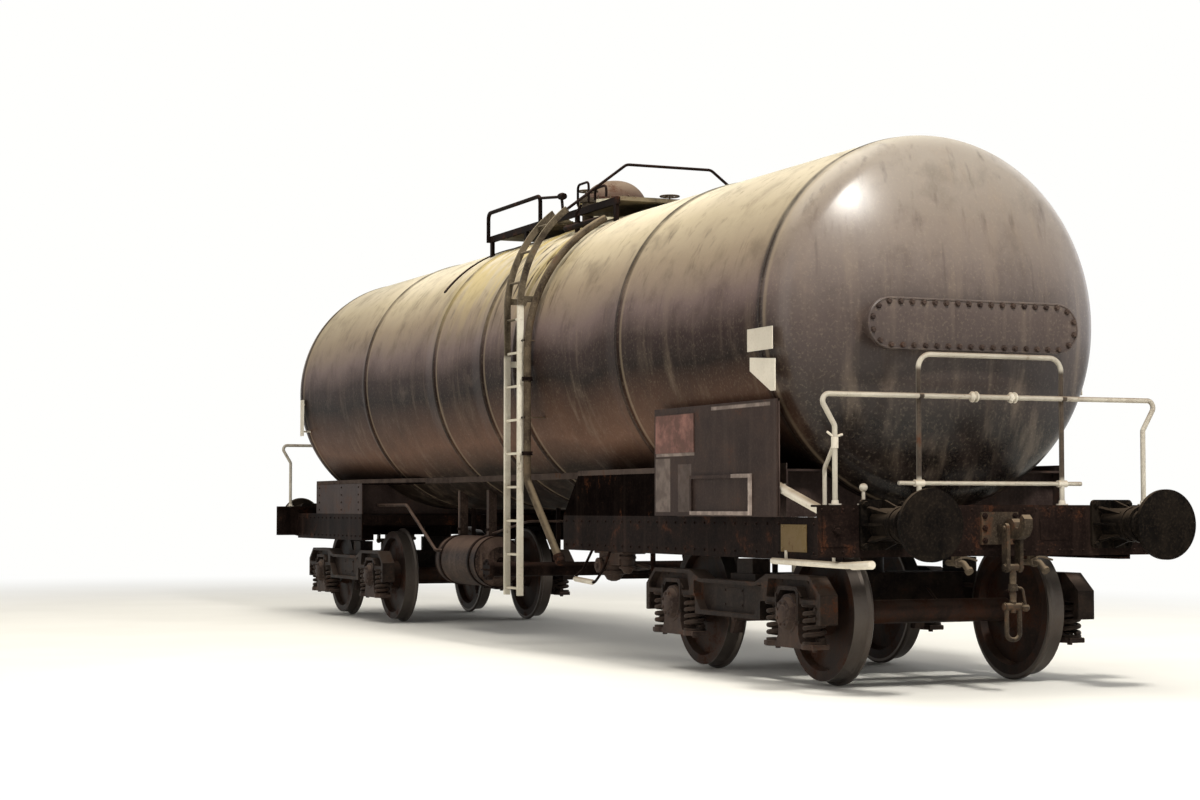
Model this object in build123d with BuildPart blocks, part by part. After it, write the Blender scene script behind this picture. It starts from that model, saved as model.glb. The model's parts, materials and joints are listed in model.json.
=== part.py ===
from build123d import *

import os
from math import cos, radians, sin, sqrt, tan

# Four-axle railway tank wagon with side buffers, in millimetres.
# X runs along the wagon with end A at +X, Y across it, Z up. Z = 0 is the lowest point
# of the wheel flanges, so every height above the rail is counted from rail_top.

# Track and wheels
flange_height = 28.0
rail_top = flange_height
wheel_radius = 460.0
flange_radius = wheel_radius + flange_height
axle_z = rail_top + wheel_radius
wheel_back = 680.0          # inner face of a wheel, half the back-to-back distance
rim_width = 135.0
rim_inner_radius = 388.0
hub_radius = 128.0
hub_inner_y = 650.0
hub_outer_y = 835.0
web_thickness = 28.0
axle_radius = 80.0
journal_radius = 65.0
collar_radius = 85.0
collar_end_y = 880.0
journal_end_y = 1080.0
bearing_gap = 0.05

# Whole wagon
length_over_buffers = 14040.0
buffer_length = 620.0
headstock_face = length_over_buffers / 2 - buffer_length
end_overhang = 1800.0       # from a pivot to the headstock's face
pivot_x = headstock_face - end_overhang
wheelbase = 1800.0
seat_gap = 0.3              # what rests on another piece stands this far off it

# Tank, carried just above the sills
sill_bottom_z = rail_top + 820.0
sill_height = 280.0
sill_top_z = sill_bottom_z + sill_height
tank_rise = 47.0            # from the sills' top to the tank's lowest line
tank_radius = 1283.0
tank_z = sill_top_z + tank_rise + tank_radius
tank_top_z = tank_z + tank_radius
head_space = 874.0          # from the head weld to the headstock's face
barrel_half = headstock_face - head_space
head_flange = 40.0
knuckle_radius = 0.2 * tank_radius
ring_positions = (-3185.0, -1040.0, 230.0, 1040.0, 3185.0)
ring_width = 60.0
ring_height = 9.0
weld_width = 24.0
weld_height = 4.0

# Manhole
manhole_x = 230.0
manhole_radius = 285.0
neck_height = 207.0
neck_flange_radius = 335.0
neck_flange_thickness = 28.0
lid_radius = 310.0
lid_rise = 172.0
lid_edge = 26.0
lid_seal_gap = 0.5
lid_hinge_x = 385.0         # distance of the hinge pin from the manhole's centre
lid_hinge_z = 25.0          # height of the pin above the neck flange
lid_pin_radius = 14.0
lid_eye_radius = 30.0
lid_eye_half = 22.0
lug_gap = 6.0               # side play between the lid's eye and the lugs
lug_thickness = 18.0

# Deck round the manhole
deck_z = tank_top_z + 57.0
deck_thickness = 30.0
deck_half_width = 600.0
deck_rail_width = 30.0
deck_rail_height = 60.0
deck_start_x = -1400.0
deck_end_x = 1650.0
deck_hole_radius = 390.0
deck_post_width = 50.0
deck_post_positions = (-1350.0, -450.0, 760.0, 1600.0)
guard_top_z = deck_z + 240.0
guard_post_positions = (-1380.0, -40.0)
guard_bar_radius = 19.0
strap_x = deck_start_x - 110.0
strap_half_width = 30.0
strap_half_y = 1010.0
strap_thickness = 10.0

# Ladders: upright beside the tank, then bent in over the barrel
ladder_centre_x = 1250.0
ladder_width = 300.0
ladder_y = tank_radius + 87.0
ladder_bottom_z = rail_top + 435.0
ladder_turn_z = tank_z + 430.0
ladder_middle_gap = 244.0   # from the barrel's skin to the bend's middle and to its end
ladder_middle_angle = 34.7
ladder_end_gap = 283.0
ladder_end_angle = 52.65
stile_width = 52.0
stile_depth = 26.0
rung_radius = 11.0
rung_pitch = 280.0

# Rail arched over the tank from ladder to ladder
arch_x = ladder_centre_x + ladder_width / 2
arch_top_z = deck_z + 315.0
arch_top_half = 400.0
arch_radius = 12.5

# Drain pipe beside the front ladder
drain_radius = 32.0
drain_gap = 48.0            # from the barrel's skin to the pipe's middle line
drain_x = arch_x + 60.0
drain_top_angle = 62.0
drain_bend_z = rail_top + 1390.0
drain_bend_radius = 150.0
drain_end_x = drain_x + 540.0
drain_end_y = tank_radius - 23.0
drain_end_z = rail_top + 742.0

# Underframe
sill_outer_y = 1100.0
sill_flange = 90.0
sill_web = 12.0
sill_lip = 14.0
long_sill_start_x = pivot_x - 2910.0
short_sill_start_x = pivot_x - 740.0
headstock_depth = 90.0
sill_end_x = headstock_face - headstock_depth
headstock_half_width = 1330.0
headstock_bottom_z = rail_top + 850.0
headstock_height = 330.0
headstock_wall = 14.0
centre_sill_outer_y = 170.0
centre_sill_inner_y = 100.0
centre_sill_bottom_z = rail_top + 950.0
bolster_half_length = 190.0
bolster_bottom_z = rail_top + 960.0
pivot_radius = 150.0
pivot_pin_radius = 40.0
pivot_seat_z = rail_top + 850.0
pivot_pin_z = rail_top + 720.0      # the pin's lower end, and the bottom of its bore
pivot_bore_z = rail_top + 640.0
side_bearer_y = 850.0
side_bearer_z = rail_top + 804.0
side_bearer_gap = 8.0

# Saddles between tank and underframe
saddle_plate = 14.0
saddle_height = 320.0
saddle_top_z = sill_top_z + saddle_height
saddle_start_x = short_sill_start_x
saddle_end_x = barrel_half + 34.0
saddle_web_half = 8.0
saddle_web_positions = (saddle_start_x + 120.0, pivot_x, saddle_end_x - 120.0)
ledge_y = 700.0
wing_start_x = pivot_x - 2600.0
short_wing_start_x = pivot_x - 2050.0
short_wing_start_y = 850.0

# Buffers
buffer_y = 875.0
buffer_z = rail_top + 1055.0
buffer_head_radius = 225.0
buffer_head_thickness = 42.0
buffer_face_crown = 18.0
buffer_sleeve_radius = 105.0
buffer_collar = 14.0
buffer_plunger_radius = 84.0
buffer_sleeve_length = 330.0
buffer_base = 320.0
buffer_base_thickness = 24.0
buffer_rib_length = 190.0
buffer_rib_thickness = 16.0
buffer_rib_angles = (0.0, 45.0, 90.0, 135.0, 180.0, 225.0, 270.0, 315.0)

# Draw gear
hook_z = rail_top + 1030.0
hook_shank = 50.0
hook_plate = 62.0
hook_face_x = headstock_face + 330.0

# End rails
end_rail_radius = 17.0
end_rail_z = rail_top + 1880.0
end_rail_half = 1300.0
end_post_y = 1180.0
end_frame_x = headstock_face - headstock_depth / 2
hoop_half = 548.0
hoop_top_z = rail_top + 2150.0
hoop_bar_z = rail_top + 1320.0
hoop_bar_radius = 14.0
hoop_bar_half = 700.0
end_strut_x = end_frame_x - 330.0
end_strut_y = sill_outer_y - 30.0
end_strut_z = rail_top + 1416.0
lever_y = 975.0
lever_z = rail_top + 1290.0

# End cover on the tank head
cover_half_length = 815.0
cover_half_height = 172.0
cover_z = tank_z - 68.0
cover_thickness = 26.0
cover_standoff = 60.0
cover_neck_inset = 70.0

# Side panels, clear of the tank at their top edge
panel_start_x = pivot_x - 820.0
panel_end_x = barrel_half + 160.0
panel_thickness = 12.0
panel_bottom_z = sill_top_z + 4.0
panel_top_z = rail_top + 1880.0
panel_gap = 69.0
panel_y = sqrt(tank_radius ** 2 - (tank_z - panel_top_z) ** 2) + panel_gap + panel_thickness
panel_frame_width = 26.0
panel_frame_depth = 16.0

# Bogie. Heights of the side frame, its springs and the arms of the axleboxes
bogie_frame_y = 1000.0
bogie_frame_width = 130.0
bogie_end = wheelbase / 2 + 450.0   # half length of the side frame
frame_crown_z = rail_top + 715.0
frame_waist_z = rail_top + 655.0
frame_foot_z = rail_top + 400.0
spring_top_z = rail_top + 530.0
spring_seat_z = rail_top + 270.0
transom_half = 190.0
transom_bottom_z = rail_top + 430.0
transom_top_z = rail_top + 700.0
window_side_z = rail_top + 560.0    # opening over an axlebox, at its sides and its top
window_top_z = rail_top + 615.0
window_top_half = 100.0
spring_offset = 255.0
spring_radius = 79.0
spring_wire = 16.0
spring_turns = 4.5
spring_cap = 16.0
arm_bottom_z = rail_top + 235.0
arm_half = 345.0
arm_width = 120.0
guide_half = 138.0          # half width of the axlebox between its guides
horn_thickness = 25.0
axlebox_radius = 130.0
axlebox_inner_y = 905.0
axlebox_outer_y = 1095.0
axlebox_cover_radius = 112.0
shoe_gap = 8.0
shoe_thickness = 52.0
shoe_half_height = 160.0
shoe_width = 80.0
shoe_y = 760.0
brake_beam_z = rail_top + 380.0
brake_beam_radius = 34.0
brake_arm_z = rail_top + 620.0

# Equipment under the tank
reservoir_radius = 240.0
reservoir_z = rail_top + 655.0
reservoir_start_x = -2280.0
reservoir_end_x = -1000.0
reservoir_y = 620.0
reservoir_cap = 90.0
reservoir_hangers = (-2060.0, -1260.0)
outlet_x = manhole_x
outlet_radius = 62.0
outlet_z = rail_top + 620.0
outlet_reach = 1230.0
brake_cylinder_radius = 150.0
brake_cylinder_length = 420.0
brake_cylinder_x = 1100.0
brake_cylinder_y = 420.0
brake_cylinder_z = rail_top + 760.0
brake_pipe_x = -300.0
brake_pipe_z = rail_top + 1040.0
brake_pipe_radius = 11.0
feed_pipe_radius = 16.0
pull_rod_start_x = 620.0
pull_rod_end_x = pivot_x - 1440.0
pull_rod_y = 160.0
pull_rod_z = rail_top + 560.0
pull_rod_radius = 18.0

ENDS = (("a", 0.0), ("b", 180.0))


def save(part, node):
    """Labels a finished piece and writes it."""
    part.label = node
    export_step(part, f"parts/{node}.step")


def save_at_both_ends(part, stem):
    """Writes a piece of end A, and the same piece turned half round for end B."""
    for letter, turn in ENDS:
        with BuildPart() as turned:
            add(part, rotation=(0, 0, turn))
        save(turned.part, f"{stem}_{letter}")


def rod(points, radius, bend=None):
    """A round bar through the points, its corners bent to the given radius."""
    with BuildPart() as bar:
        with BuildLine() as path:
            if bend:
                FilletPolyline(*points, radius=bend)
            else:
                Polyline(*points)
        with BuildSketch(Plane(origin=path.line @ 0, z_dir=path.line % 0)):
            Circle(radius)
        sweep(transition=Transition.ROUND if not bend else Transition.TRANSFORMED)
    return bar.part


def block(x_from, x_to, y_from, y_to, z_from, z_to):
    """A box between two corners."""
    with BuildPart() as box:
        with BuildSketch(Plane.XY.offset(z_from)):
            with Locations(((x_from + x_to) / 2, (y_from + y_to) / 2)):
                Rectangle(abs(x_to - x_from), abs(y_to - y_from))
        extrude(amount=z_to - z_from)
    return box.part


os.makedirs("parts", exist_ok=True)

# Tank: a barrel of rolled rings with dished heads, turned in one profile.
# A head is a crown of the tank's diameter met by a small knuckle arc.
crown_radius = 2 * tank_radius
knuckle_x = barrel_half + head_flange
crown_centre_x = knuckle_x - sqrt((crown_radius - knuckle_radius) ** 2 - (tank_radius - knuckle_radius) ** 2)
head_apex_x = crown_centre_x + crown_radius
join_ratio = crown_radius / (crown_radius - knuckle_radius)
join_x = crown_centre_x + (knuckle_x - crown_centre_x) * join_ratio
join_r = (tank_radius - knuckle_radius) * join_ratio


def band(centre, width, height):
    """Corner points of a raised band on the barrel, in rising X."""
    return [
        (centre - width / 2, tank_radius),
        (centre - width / 2, tank_radius + height),
        (centre + width / 2, tank_radius + height),
        (centre + width / 2, tank_radius),
    ]


barrel_points = band(-barrel_half, weld_width, weld_height)
for ring_x in ring_positions:
    barrel_points += band(ring_x, ring_width, ring_height)
barrel_points += band(barrel_half, weld_width, weld_height)

with BuildPart() as tank:
    with BuildSketch(Plane(origin=(0, 0, tank_z), x_dir=(1, 0, 0), z_dir=(0, -1, 0))):
        with BuildLine():
            Polyline((-knuckle_x, tank_radius), *barrel_points, (knuckle_x, tank_radius))
            for side in (1, -1):
                RadiusArc(
                    (side * knuckle_x, tank_radius),
                    (side * join_x, join_r),
                    side * knuckle_radius,
                )
                RadiusArc((side * join_x, join_r), (side * head_apex_x, 0), side * crown_radius)
            Line((-head_apex_x, 0), (head_apex_x, 0))
        make_face()
    revolve(axis=Axis((0, 0, tank_z), (1, 0, 0)))
save(tank.part, "tank")


def side_plane(y):
    """An upright plane along the wagon, its X to +X and its Y up, looked at from -Y."""
    return Plane(origin=(0, y, 0), x_dir=(1, 0, 0), z_dir=(0, -1, 0))


def profile(points, y_from, y_to, round_by=0.0):
    """A flat piece with an outline in X and Z, between two values of Y, its corners rounded."""
    with BuildPart() as plate:
        with BuildSketch(side_plane(max(y_from, y_to))) as outline:
            with BuildLine():
                Polyline(*points, close=True)
            make_face()
            if round_by:
                fillet(outline.vertices(), round_by)
        extrude(amount=abs(y_from - y_to))
    return plate.part


def across(points, x_from, x_to):
    """A flat piece with an outline in Y and Z, between two values of X."""
    with BuildPart() as plate:
        with BuildSketch(Plane(origin=(x_from, 0, 0), x_dir=(0, 1, 0), z_dir=(1, 0, 0))):
            with BuildLine():
                Polyline(*points, close=True)
            make_face()
        extrude(amount=x_to - x_from)
    return plate.part


def turned_about(axis_point, axis_dir, points):
    """A turned piece: points give the distance along the axis and the radius."""
    along = Vector(*axis_dir)
    side = Vector(0, 0, 1) if abs(along.Z) < 0.5 else Vector(1, 0, 0)
    plane = Plane(origin=axis_point, x_dir=along, z_dir=along.cross(side))
    with BuildPart() as piece:
        with BuildSketch(plane):
            with BuildLine():
                Polyline(*points, close=True)
            make_face()
        revolve(axis=Axis(axis_point, axis_dir))
    return piece.part


def joined(*parts):
    """Several pieces as one."""
    with BuildPart() as whole:
        for part in parts:
            add(part)
    return whole.part


# Manhole: a flanged neck with two lugs, and a domed lid on a pin between them
neck_top_z = tank_top_z + neck_height
pin_x = manhole_x - lid_hinge_x
pin_z = neck_top_z + lid_hinge_z
lug_inner_y = lid_eye_half + lug_gap
with BuildPart() as manhole_neck:
    with BuildSketch(Plane.XY.offset(tank_top_z - 60)):
        with Locations((manhole_x, 0)):
            Circle(manhole_radius)
    extrude(amount=neck_height + 60)
    with BuildSketch(Plane.XY.offset(neck_top_z - neck_flange_thickness)):
        with Locations((manhole_x, 0)):
            Circle(neck_flange_radius)
    extrude(amount=neck_flange_thickness)
    for side in (1, -1):
        with BuildSketch(side_plane(side * lug_inner_y)):
            with BuildLine():
                Polyline(
                    (pin_x + 70, neck_top_z - neck_flange_thickness),
                    (pin_x + 70, neck_top_z),
                    (pin_x + 30, neck_top_z),
                    (pin_x + 30, pin_z),
                    (pin_x - 30, pin_z),
                    (pin_x - 30, neck_top_z - 10),
                    (pin_x, neck_top_z - neck_flange_thickness),
                    close=True,
                )
            make_face()
            with Locations((pin_x, pin_z)):
                Circle(lid_eye_radius)
        extrude(amount=-side * lug_thickness)
    with BuildSketch(side_plane(0)):
        with Locations((pin_x, pin_z)):
            Circle(lid_pin_radius)
    extrude(amount=lug_inner_y + lug_thickness + 14, both=True)
    add(tank.part, mode=Mode.SUBTRACT)
save(manhole_neck.part, "manhole_neck")

lid_bottom_z = neck_top_z + lid_seal_gap
with BuildPart() as manhole_lid:
    with BuildSketch(Plane(origin=(manhole_x, 0, lid_bottom_z), x_dir=(1, 0, 0), z_dir=(0, -1, 0))):
        with BuildLine():
            Polyline((0, 0), (lid_radius, 0), (lid_radius, lid_edge), (lid_radius - 25, lid_edge))
            ThreePointArc(
                (lid_radius - 25, lid_edge),
                (lid_radius * 0.62, lid_edge + lid_rise * 0.72),
                (0, lid_edge + lid_rise),
            )
            Line((0, lid_edge + lid_rise), (0, 0))
        make_face()
    revolve(axis=Axis((manhole_x, 0, 0), (0, 0, 1)))
    with BuildSketch(side_plane(lid_eye_half)):
        with Locations((pin_x, pin_z)):
            Circle(lid_eye_radius)
        with BuildLine():
            Polyline(
                (pin_x, pin_z - 16),
                (manhole_x - 240, pin_z - 16),
                (manhole_x - 240, pin_z + 24),
                (pin_x, pin_z + 24),
                close=True,
            )
        make_face()
        with Locations((pin_x, pin_z)):
            Circle(lid_pin_radius + bearing_gap, mode=Mode.SUBTRACT)
    extrude(amount=2 * lid_eye_half)
save(manhole_lid.part, "manhole_lid")

# Deck: two edge rails on posts, plates between them on either side of the manhole
deck_rail_inner_y = deck_half_width - deck_rail_width
with BuildPart() as platform_rails:
    for side in (1, -1):
        rail_y = sorted((side * deck_half_width, side * deck_rail_inner_y))
        add(block(deck_start_x, deck_end_x, rail_y[0], rail_y[1], deck_z - deck_rail_height, deck_z))
        for post_x in deck_post_positions:
            half = deck_post_width / 2
            add(block(post_x - half, post_x + half, rail_y[0], rail_y[1],
                      tank_z + tank_radius / 2, deck_z - deck_rail_height + 5))
    add(tank.part, mode=Mode.SUBTRACT)

deck_spans = (
    (deck_start_x, manhole_x - deck_hole_radius),
    (manhole_x + deck_hole_radius, deck_end_x),
)
with BuildPart() as platform_deck:
    for start_x, end_x in deck_spans:
        add(block(start_x, end_x, -deck_rail_inner_y, deck_rail_inner_y, deck_z - deck_thickness, deck_z))
save(platform_deck.part, "platform_deck")

guard_y = -(deck_half_width + guard_bar_radius - 4)
guard_start_x, guard_end_x = guard_post_positions
platform_guard = rod(
    (
        (guard_start_x, guard_y, deck_z - deck_rail_height),
        (guard_start_x, guard_y, guard_top_z - guard_bar_radius),
        (guard_end_x, guard_y, guard_top_z - guard_bar_radius),
        (guard_end_x, guard_y, deck_z - deck_rail_height),
    ),
    guard_bar_radius,
    60,
)
save(joined(platform_rails.part, platform_guard), "platform_rails")

# Valves on the tank top, round the manhole
TOP_VALVES = (
    # x, y, body radius, height above the tank top, cap radius
    (560.0, -400.0, 52.0, 190.0, 74.0),
    (560.0, 400.0, 52.0, 190.0, 74.0),
    (-110.0, 430.0, 40.0, 150.0, 60.0),
)
with BuildPart() as top_valves:
    for x, y, body_radius, height, cap_radius in TOP_VALVES:
        top_z = tank_top_z + height
        base_z = tank_z + sqrt(tank_radius ** 2 - (abs(y) + body_radius) ** 2)
        add(turned_about((x, y, base_z), (0, 0, 1), (
            (0, 0), (0, body_radius), (top_z - 40 - base_z, body_radius),
            (top_z - 40 - base_z, cap_radius), (top_z - base_z, cap_radius), (top_z - base_z, 0),
        )))
    add(tank.part, mode=Mode.SUBTRACT)
save(top_valves.part, "top_valves")

# A strap round the upper half of the barrel beside the deck
with BuildPart() as top_strap:
    with BuildSketch(Plane(origin=(strap_x, 0, tank_z), x_dir=(0, 1, 0), z_dir=(1, 0, 0))):
        Circle(tank_radius + strap_thickness)
        Circle(tank_radius, mode=Mode.SUBTRACT)
        with Locations((0, tank_radius)):
            Rectangle(2 * strap_half_y, 2 * tank_radius, mode=Mode.INTERSECT)
    extrude(amount=strap_half_width, both=True)
save(top_strap.part, "top_strap")

# Ladders: one each side, their stiles bent in over the barrel to a rail across the top
def round_tank(gap, angle):
    """Y and Z of a point off the barrel's skin, at an angle above level on the +Y side."""
    reach = tank_radius + gap
    return reach * cos(radians(angle)), tank_z + reach * sin(radians(angle))


bend_middle_y, bend_middle_z = round_tank(ladder_middle_gap, ladder_middle_angle)
arch_foot_half, arch_foot_z = round_tank(ladder_end_gap, ladder_end_angle)
ladders = []
for name, side in (("ladder_front", -1), ("ladder_back", 1)):
    with BuildPart() as ladder:
        for stile_x in (ladder_centre_x - ladder_width / 2, ladder_centre_x + ladder_width / 2):
            plane = Plane(origin=(stile_x - stile_depth / 2, 0, 0), x_dir=(0, 1, 0), z_dir=(1, 0, 0))
            with BuildSketch(plane):
                with BuildLine():
                    straight = Line((side * ladder_y, ladder_bottom_z), (side * ladder_y, ladder_turn_z))
                    bend = ThreePointArc(
                        straight @ 1,
                        (side * bend_middle_y, bend_middle_z),
                        (side * arch_foot_half, arch_foot_z),
                    )
                trace(line_width=stile_width)
            extrude(amount=stile_depth)
        inner_half = ladder_width / 2 - stile_depth / 2 + 1
        rungs = []
        rung_z = ladder_bottom_z + 60
        while rung_z < ladder_turn_z:
            rungs.append((side * ladder_y, rung_z))
            rung_z += rung_pitch
        for share in (0.2, 0.5, 0.8):
            spot = bend @ share
            rungs.append((spot.X, spot.Y))
        for rung_y, rung_z in rungs:
            with BuildSketch(Plane(origin=(ladder_centre_x, rung_y, rung_z), z_dir=(1, 0, 0))):
                Circle(rung_radius)
            extrude(amount=inner_half, both=True)
        for hold_z in (tank_z - 60, tank_z + 470):
            for stile_x in (ladder_centre_x - ladder_width / 2, ladder_centre_x + ladder_width / 2):
                hold_y = sorted((side * (ladder_y - 20), side * tank_radius * 0.85))
                add(block(stile_x - 6, stile_x + 6, hold_y[0], hold_y[1], hold_z - 25, hold_z + 25))
        add(tank.part, mode=Mode.SUBTRACT)
    ladders.append(ladder.part)
    save(ladder.part, name)

# Rail arched over the tank from ladder to ladder
with BuildPart() as top_arch:
    add(rod(
        (
            (arch_x, -arch_foot_half - 4, arch_foot_z - 4),
            (arch_x, -arch_top_half, arch_top_z),
            (arch_x, arch_top_half, arch_top_z),
            (arch_x, arch_foot_half + 4, arch_foot_z - 4),
        ),
        arch_radius,
        80,
    ))
    for ladder_part in ladders:
        add(ladder_part, mode=Mode.SUBTRACT)
save(top_arch.part, "top_arch")

# Drain pipe from under the deck, round the barrel beside the ladder and out past the long
# sill. Its upper stretch follows the barrel: a corner at half the angle, rounded at the
# barrel's own radius.
drain_reach = tank_radius + drain_gap
drain_top_y, drain_top_z = round_tank(drain_gap, drain_top_angle)
drain_corner_z = tank_z + drain_reach * tan(radians(drain_top_angle / 2))
with BuildPart() as drain_pipe:
    add(rod(
        (
            (drain_x, -drain_top_y, drain_top_z),
            (drain_x, -drain_reach, drain_corner_z),
            (drain_x, -drain_reach, drain_bend_z),
            (drain_end_x, -drain_end_y, drain_end_z),
        ),
        drain_radius,
        (drain_reach - drain_radius, drain_bend_radius),
    ))
    for clip_z in (tank_z + 120, tank_z - 520):
        add(block(drain_x - 20, drain_x + 20, -drain_reach, -tank_radius / 2, clip_z - 4, clip_z + 4))
    add(tank.part, mode=Mode.SUBTRACT)
save(drain_pipe.part, "drain_pipe")

# Side sills, long on one side of an end and short on the other


def channel_sill(start_x, side):
    """A channel along X, its web outside and its flanges turned in."""
    outer = side * sill_outer_y
    web = side * (sill_outer_y - sill_web)
    lip = side * (sill_outer_y - sill_flange)
    return across(
        (
            (outer, sill_bottom_z), (lip, sill_bottom_z), (lip, sill_bottom_z + sill_lip),
            (web, sill_bottom_z + sill_lip), (web, sill_top_z - sill_lip), (lip, sill_top_z - sill_lip),
            (lip, sill_top_z), (outer, sill_top_z),
        ),
        start_x, sill_end_x,
    )


save_at_both_ends(channel_sill(long_sill_start_x, -1), "long_sill")
save_at_both_ends(channel_sill(short_sill_start_x, 1), "short_sill")

# Cross members between the sills, with the pivot's upper seat and the side bearer pads
CROSS_BEAMS = (
    # x from, x to, z from
    (saddle_start_x + 10, saddle_start_x + 130, rail_top + 980.0),
    (saddle_end_x - 160, saddle_end_x - 60, rail_top + 1000.0),
    (sill_end_x - 360, sill_end_x - 260, rail_top + 980.0),
)
cross_top_z = sill_top_z - sill_lip
cross_half_y = sill_outer_y - sill_web
bolster_start_x = pivot_x - bolster_half_length
bolster_end_x = pivot_x + bolster_half_length
with BuildPart() as cross_members:
    add(block(bolster_start_x, bolster_end_x, -cross_half_y, cross_half_y, bolster_bottom_z, cross_top_z))
    for side in (1, -1):
        pad_y = sorted((side * (side_bearer_y - 75), side * (side_bearer_y + 75)))
        add(block(pivot_x - 130, pivot_x + 130, pad_y[0], pad_y[1],
                  side_bearer_z + side_bearer_gap, bolster_bottom_z))
    with BuildSketch(Plane.XY.offset(pivot_seat_z)):
        with Locations((pivot_x, 0)):
            Circle(pivot_radius)
    extrude(amount=bolster_bottom_z - pivot_seat_z)
    with BuildSketch(Plane.XY.offset(pivot_pin_z)):
        with Locations((pivot_x, 0)):
            Circle(pivot_pin_radius)
    extrude(amount=pivot_seat_z - pivot_pin_z)
    for x_from, x_to, z_from in CROSS_BEAMS:
        add(block(x_from, x_to, -cross_half_y, cross_half_y, z_from, cross_top_z))
    sill_spans = (
        (bolster_end_x, CROSS_BEAMS[1][0]),
        (CROSS_BEAMS[1][1], CROSS_BEAMS[2][0]),
        (CROSS_BEAMS[2][1], sill_end_x),
    )
    for side in (1, -1):
        sill_y = sorted((side * centre_sill_outer_y, side * centre_sill_inner_y))
        for x_from, x_to in sill_spans:
            add(block(x_from + seat_gap, x_to - seat_gap, sill_y[0], sill_y[1],
                      centre_sill_bottom_z, cross_top_z))
save_at_both_ends(cross_members.part, "cross_members")

# Headstock: a channel across the end, open inwards
headstock_top_z = headstock_bottom_z + headstock_height
headstock = profile(
    (
        (headstock_face, headstock_bottom_z), (headstock_face, headstock_top_z),
        (sill_end_x, headstock_top_z), (sill_end_x, headstock_top_z - headstock_wall),
        (headstock_face - headstock_wall, headstock_top_z - headstock_wall),
        (headstock_face - headstock_wall, headstock_bottom_z + headstock_wall),
        (sill_end_x, headstock_bottom_z + headstock_wall), (sill_end_x, headstock_bottom_z),
    ),
    headstock_half_width, -headstock_half_width,
)
save_at_both_ends(headstock, "headstock")

# Saddles: side plates on the sills, a ledge up to the barrel and webs across
saddle_inner_y = sill_outer_y - saddle_plate
ledge_z = saddle_top_z - saddle_plate
with BuildPart() as saddle:
    for side in (1, -1):
        plate_y = sorted((side * sill_outer_y, side * saddle_inner_y))
        add(block(saddle_start_x, saddle_end_x, plate_y[0], plate_y[1], sill_top_z, saddle_top_z))
        top_y = sorted((side * (saddle_inner_y - seat_gap), side * ledge_y))
        add(block(saddle_start_x, saddle_end_x, top_y[0], top_y[1], ledge_z, saddle_top_z))
    for web_x in saddle_web_positions:
        add(block(web_x - saddle_web_half, web_x + saddle_web_half, -saddle_inner_y + seat_gap,
                  saddle_inner_y - seat_gap, sill_top_z, ledge_z - seat_gap))
    add(tank.part, mode=Mode.SUBTRACT)
save_at_both_ends(saddle.part, "saddle")

# Wings that run from each saddle towards the middle
WING_LEDGES = (
    # side, x where the ledge starts, y of its outer corner there
    (-1, wing_start_x, sill_outer_y),
    (1, short_wing_start_x, short_wing_start_y),
)
with BuildPart() as saddle_wings:
    add(profile(
        (
            (long_sill_start_x, sill_top_z), (saddle_start_x, sill_top_z),
            (saddle_start_x, saddle_top_z), (wing_start_x, saddle_top_z),
        ),
        -saddle_inner_y, -sill_outer_y,
    ))
    for side, start_x, start_y in WING_LEDGES:
        with BuildSketch(Plane.XY.offset(ledge_z)):
            with BuildLine():
                Polyline(
                    (start_x, side * ledge_y),
                    (saddle_start_x, side * ledge_y),
                    (saddle_start_x, side * sill_outer_y),
                    (start_x, side * start_y),
                    close=True,
                )
            make_face()
        extrude(amount=saddle_plate)
    add(tank.part, mode=Mode.SUBTRACT)
save_at_both_ends(saddle_wings.part, "saddle_wings")

# Buffers: a ribbed housing on a square base, and a plunger with a crowned head
plunger_start = buffer_base_thickness + buffer_sleeve_length
head_back = buffer_length - buffer_head_thickness - buffer_face_crown
rib_end = buffer_base_thickness + buffer_rib_length
with BuildPart() as buffer_housings:
    for side in (1, -1):
        base = (headstock_face, side * buffer_y, buffer_z)
        with BuildSketch(Plane(origin=base, x_dir=(0, 1, 0), z_dir=(1, 0, 0))) as base_plate:
            Rectangle(buffer_base, buffer_base)
            fillet(base_plate.vertices(), 30)
        extrude(amount=buffer_base_thickness)
        add(turned_about(base, (1, 0, 0), (
            (0, 0), (0, buffer_sleeve_radius), (plunger_start - 40, buffer_sleeve_radius),
            (plunger_start - 40, buffer_sleeve_radius + buffer_collar),
            (plunger_start, buffer_sleeve_radius + buffer_collar), (plunger_start, 0),
        )))
        for angle in buffer_rib_angles:
            across_rib = (0, -sin(radians(angle)), cos(radians(angle)))
            with BuildSketch(Plane(origin=base, x_dir=(1, 0, 0), z_dir=across_rib)):
                with BuildLine():
                    Polyline(
                        (0, buffer_sleeve_radius - 6), (0, buffer_base / 2 - 4),
                        (buffer_base_thickness + 30, buffer_base / 2 - 4),
                        (rib_end, buffer_sleeve_radius + 4), (rib_end, buffer_sleeve_radius - 6),
                        close=True,
                    )
                make_face()
            extrude(amount=buffer_rib_thickness / 2, both=True)

with BuildPart() as buffer_heads:
    for side in (1, -1):
        add(turned_about((headstock_face, side * buffer_y, buffer_z), (1, 0, 0), (
            (plunger_start, 0), (plunger_start, buffer_plunger_radius),
            (head_back - 30, buffer_plunger_radius), (head_back, buffer_plunger_radius + 66),
            (head_back, buffer_head_radius - 12), (head_back + 12, buffer_head_radius),
            (head_back + buffer_head_thickness, buffer_head_radius),
            (buffer_length - 8, buffer_head_radius * 0.62), (buffer_length, buffer_head_radius * 0.25),
            (buffer_length, 0),
        )))
save_at_both_ends(joined(buffer_housings.part, buffer_heads.part), "buffers")

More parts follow.
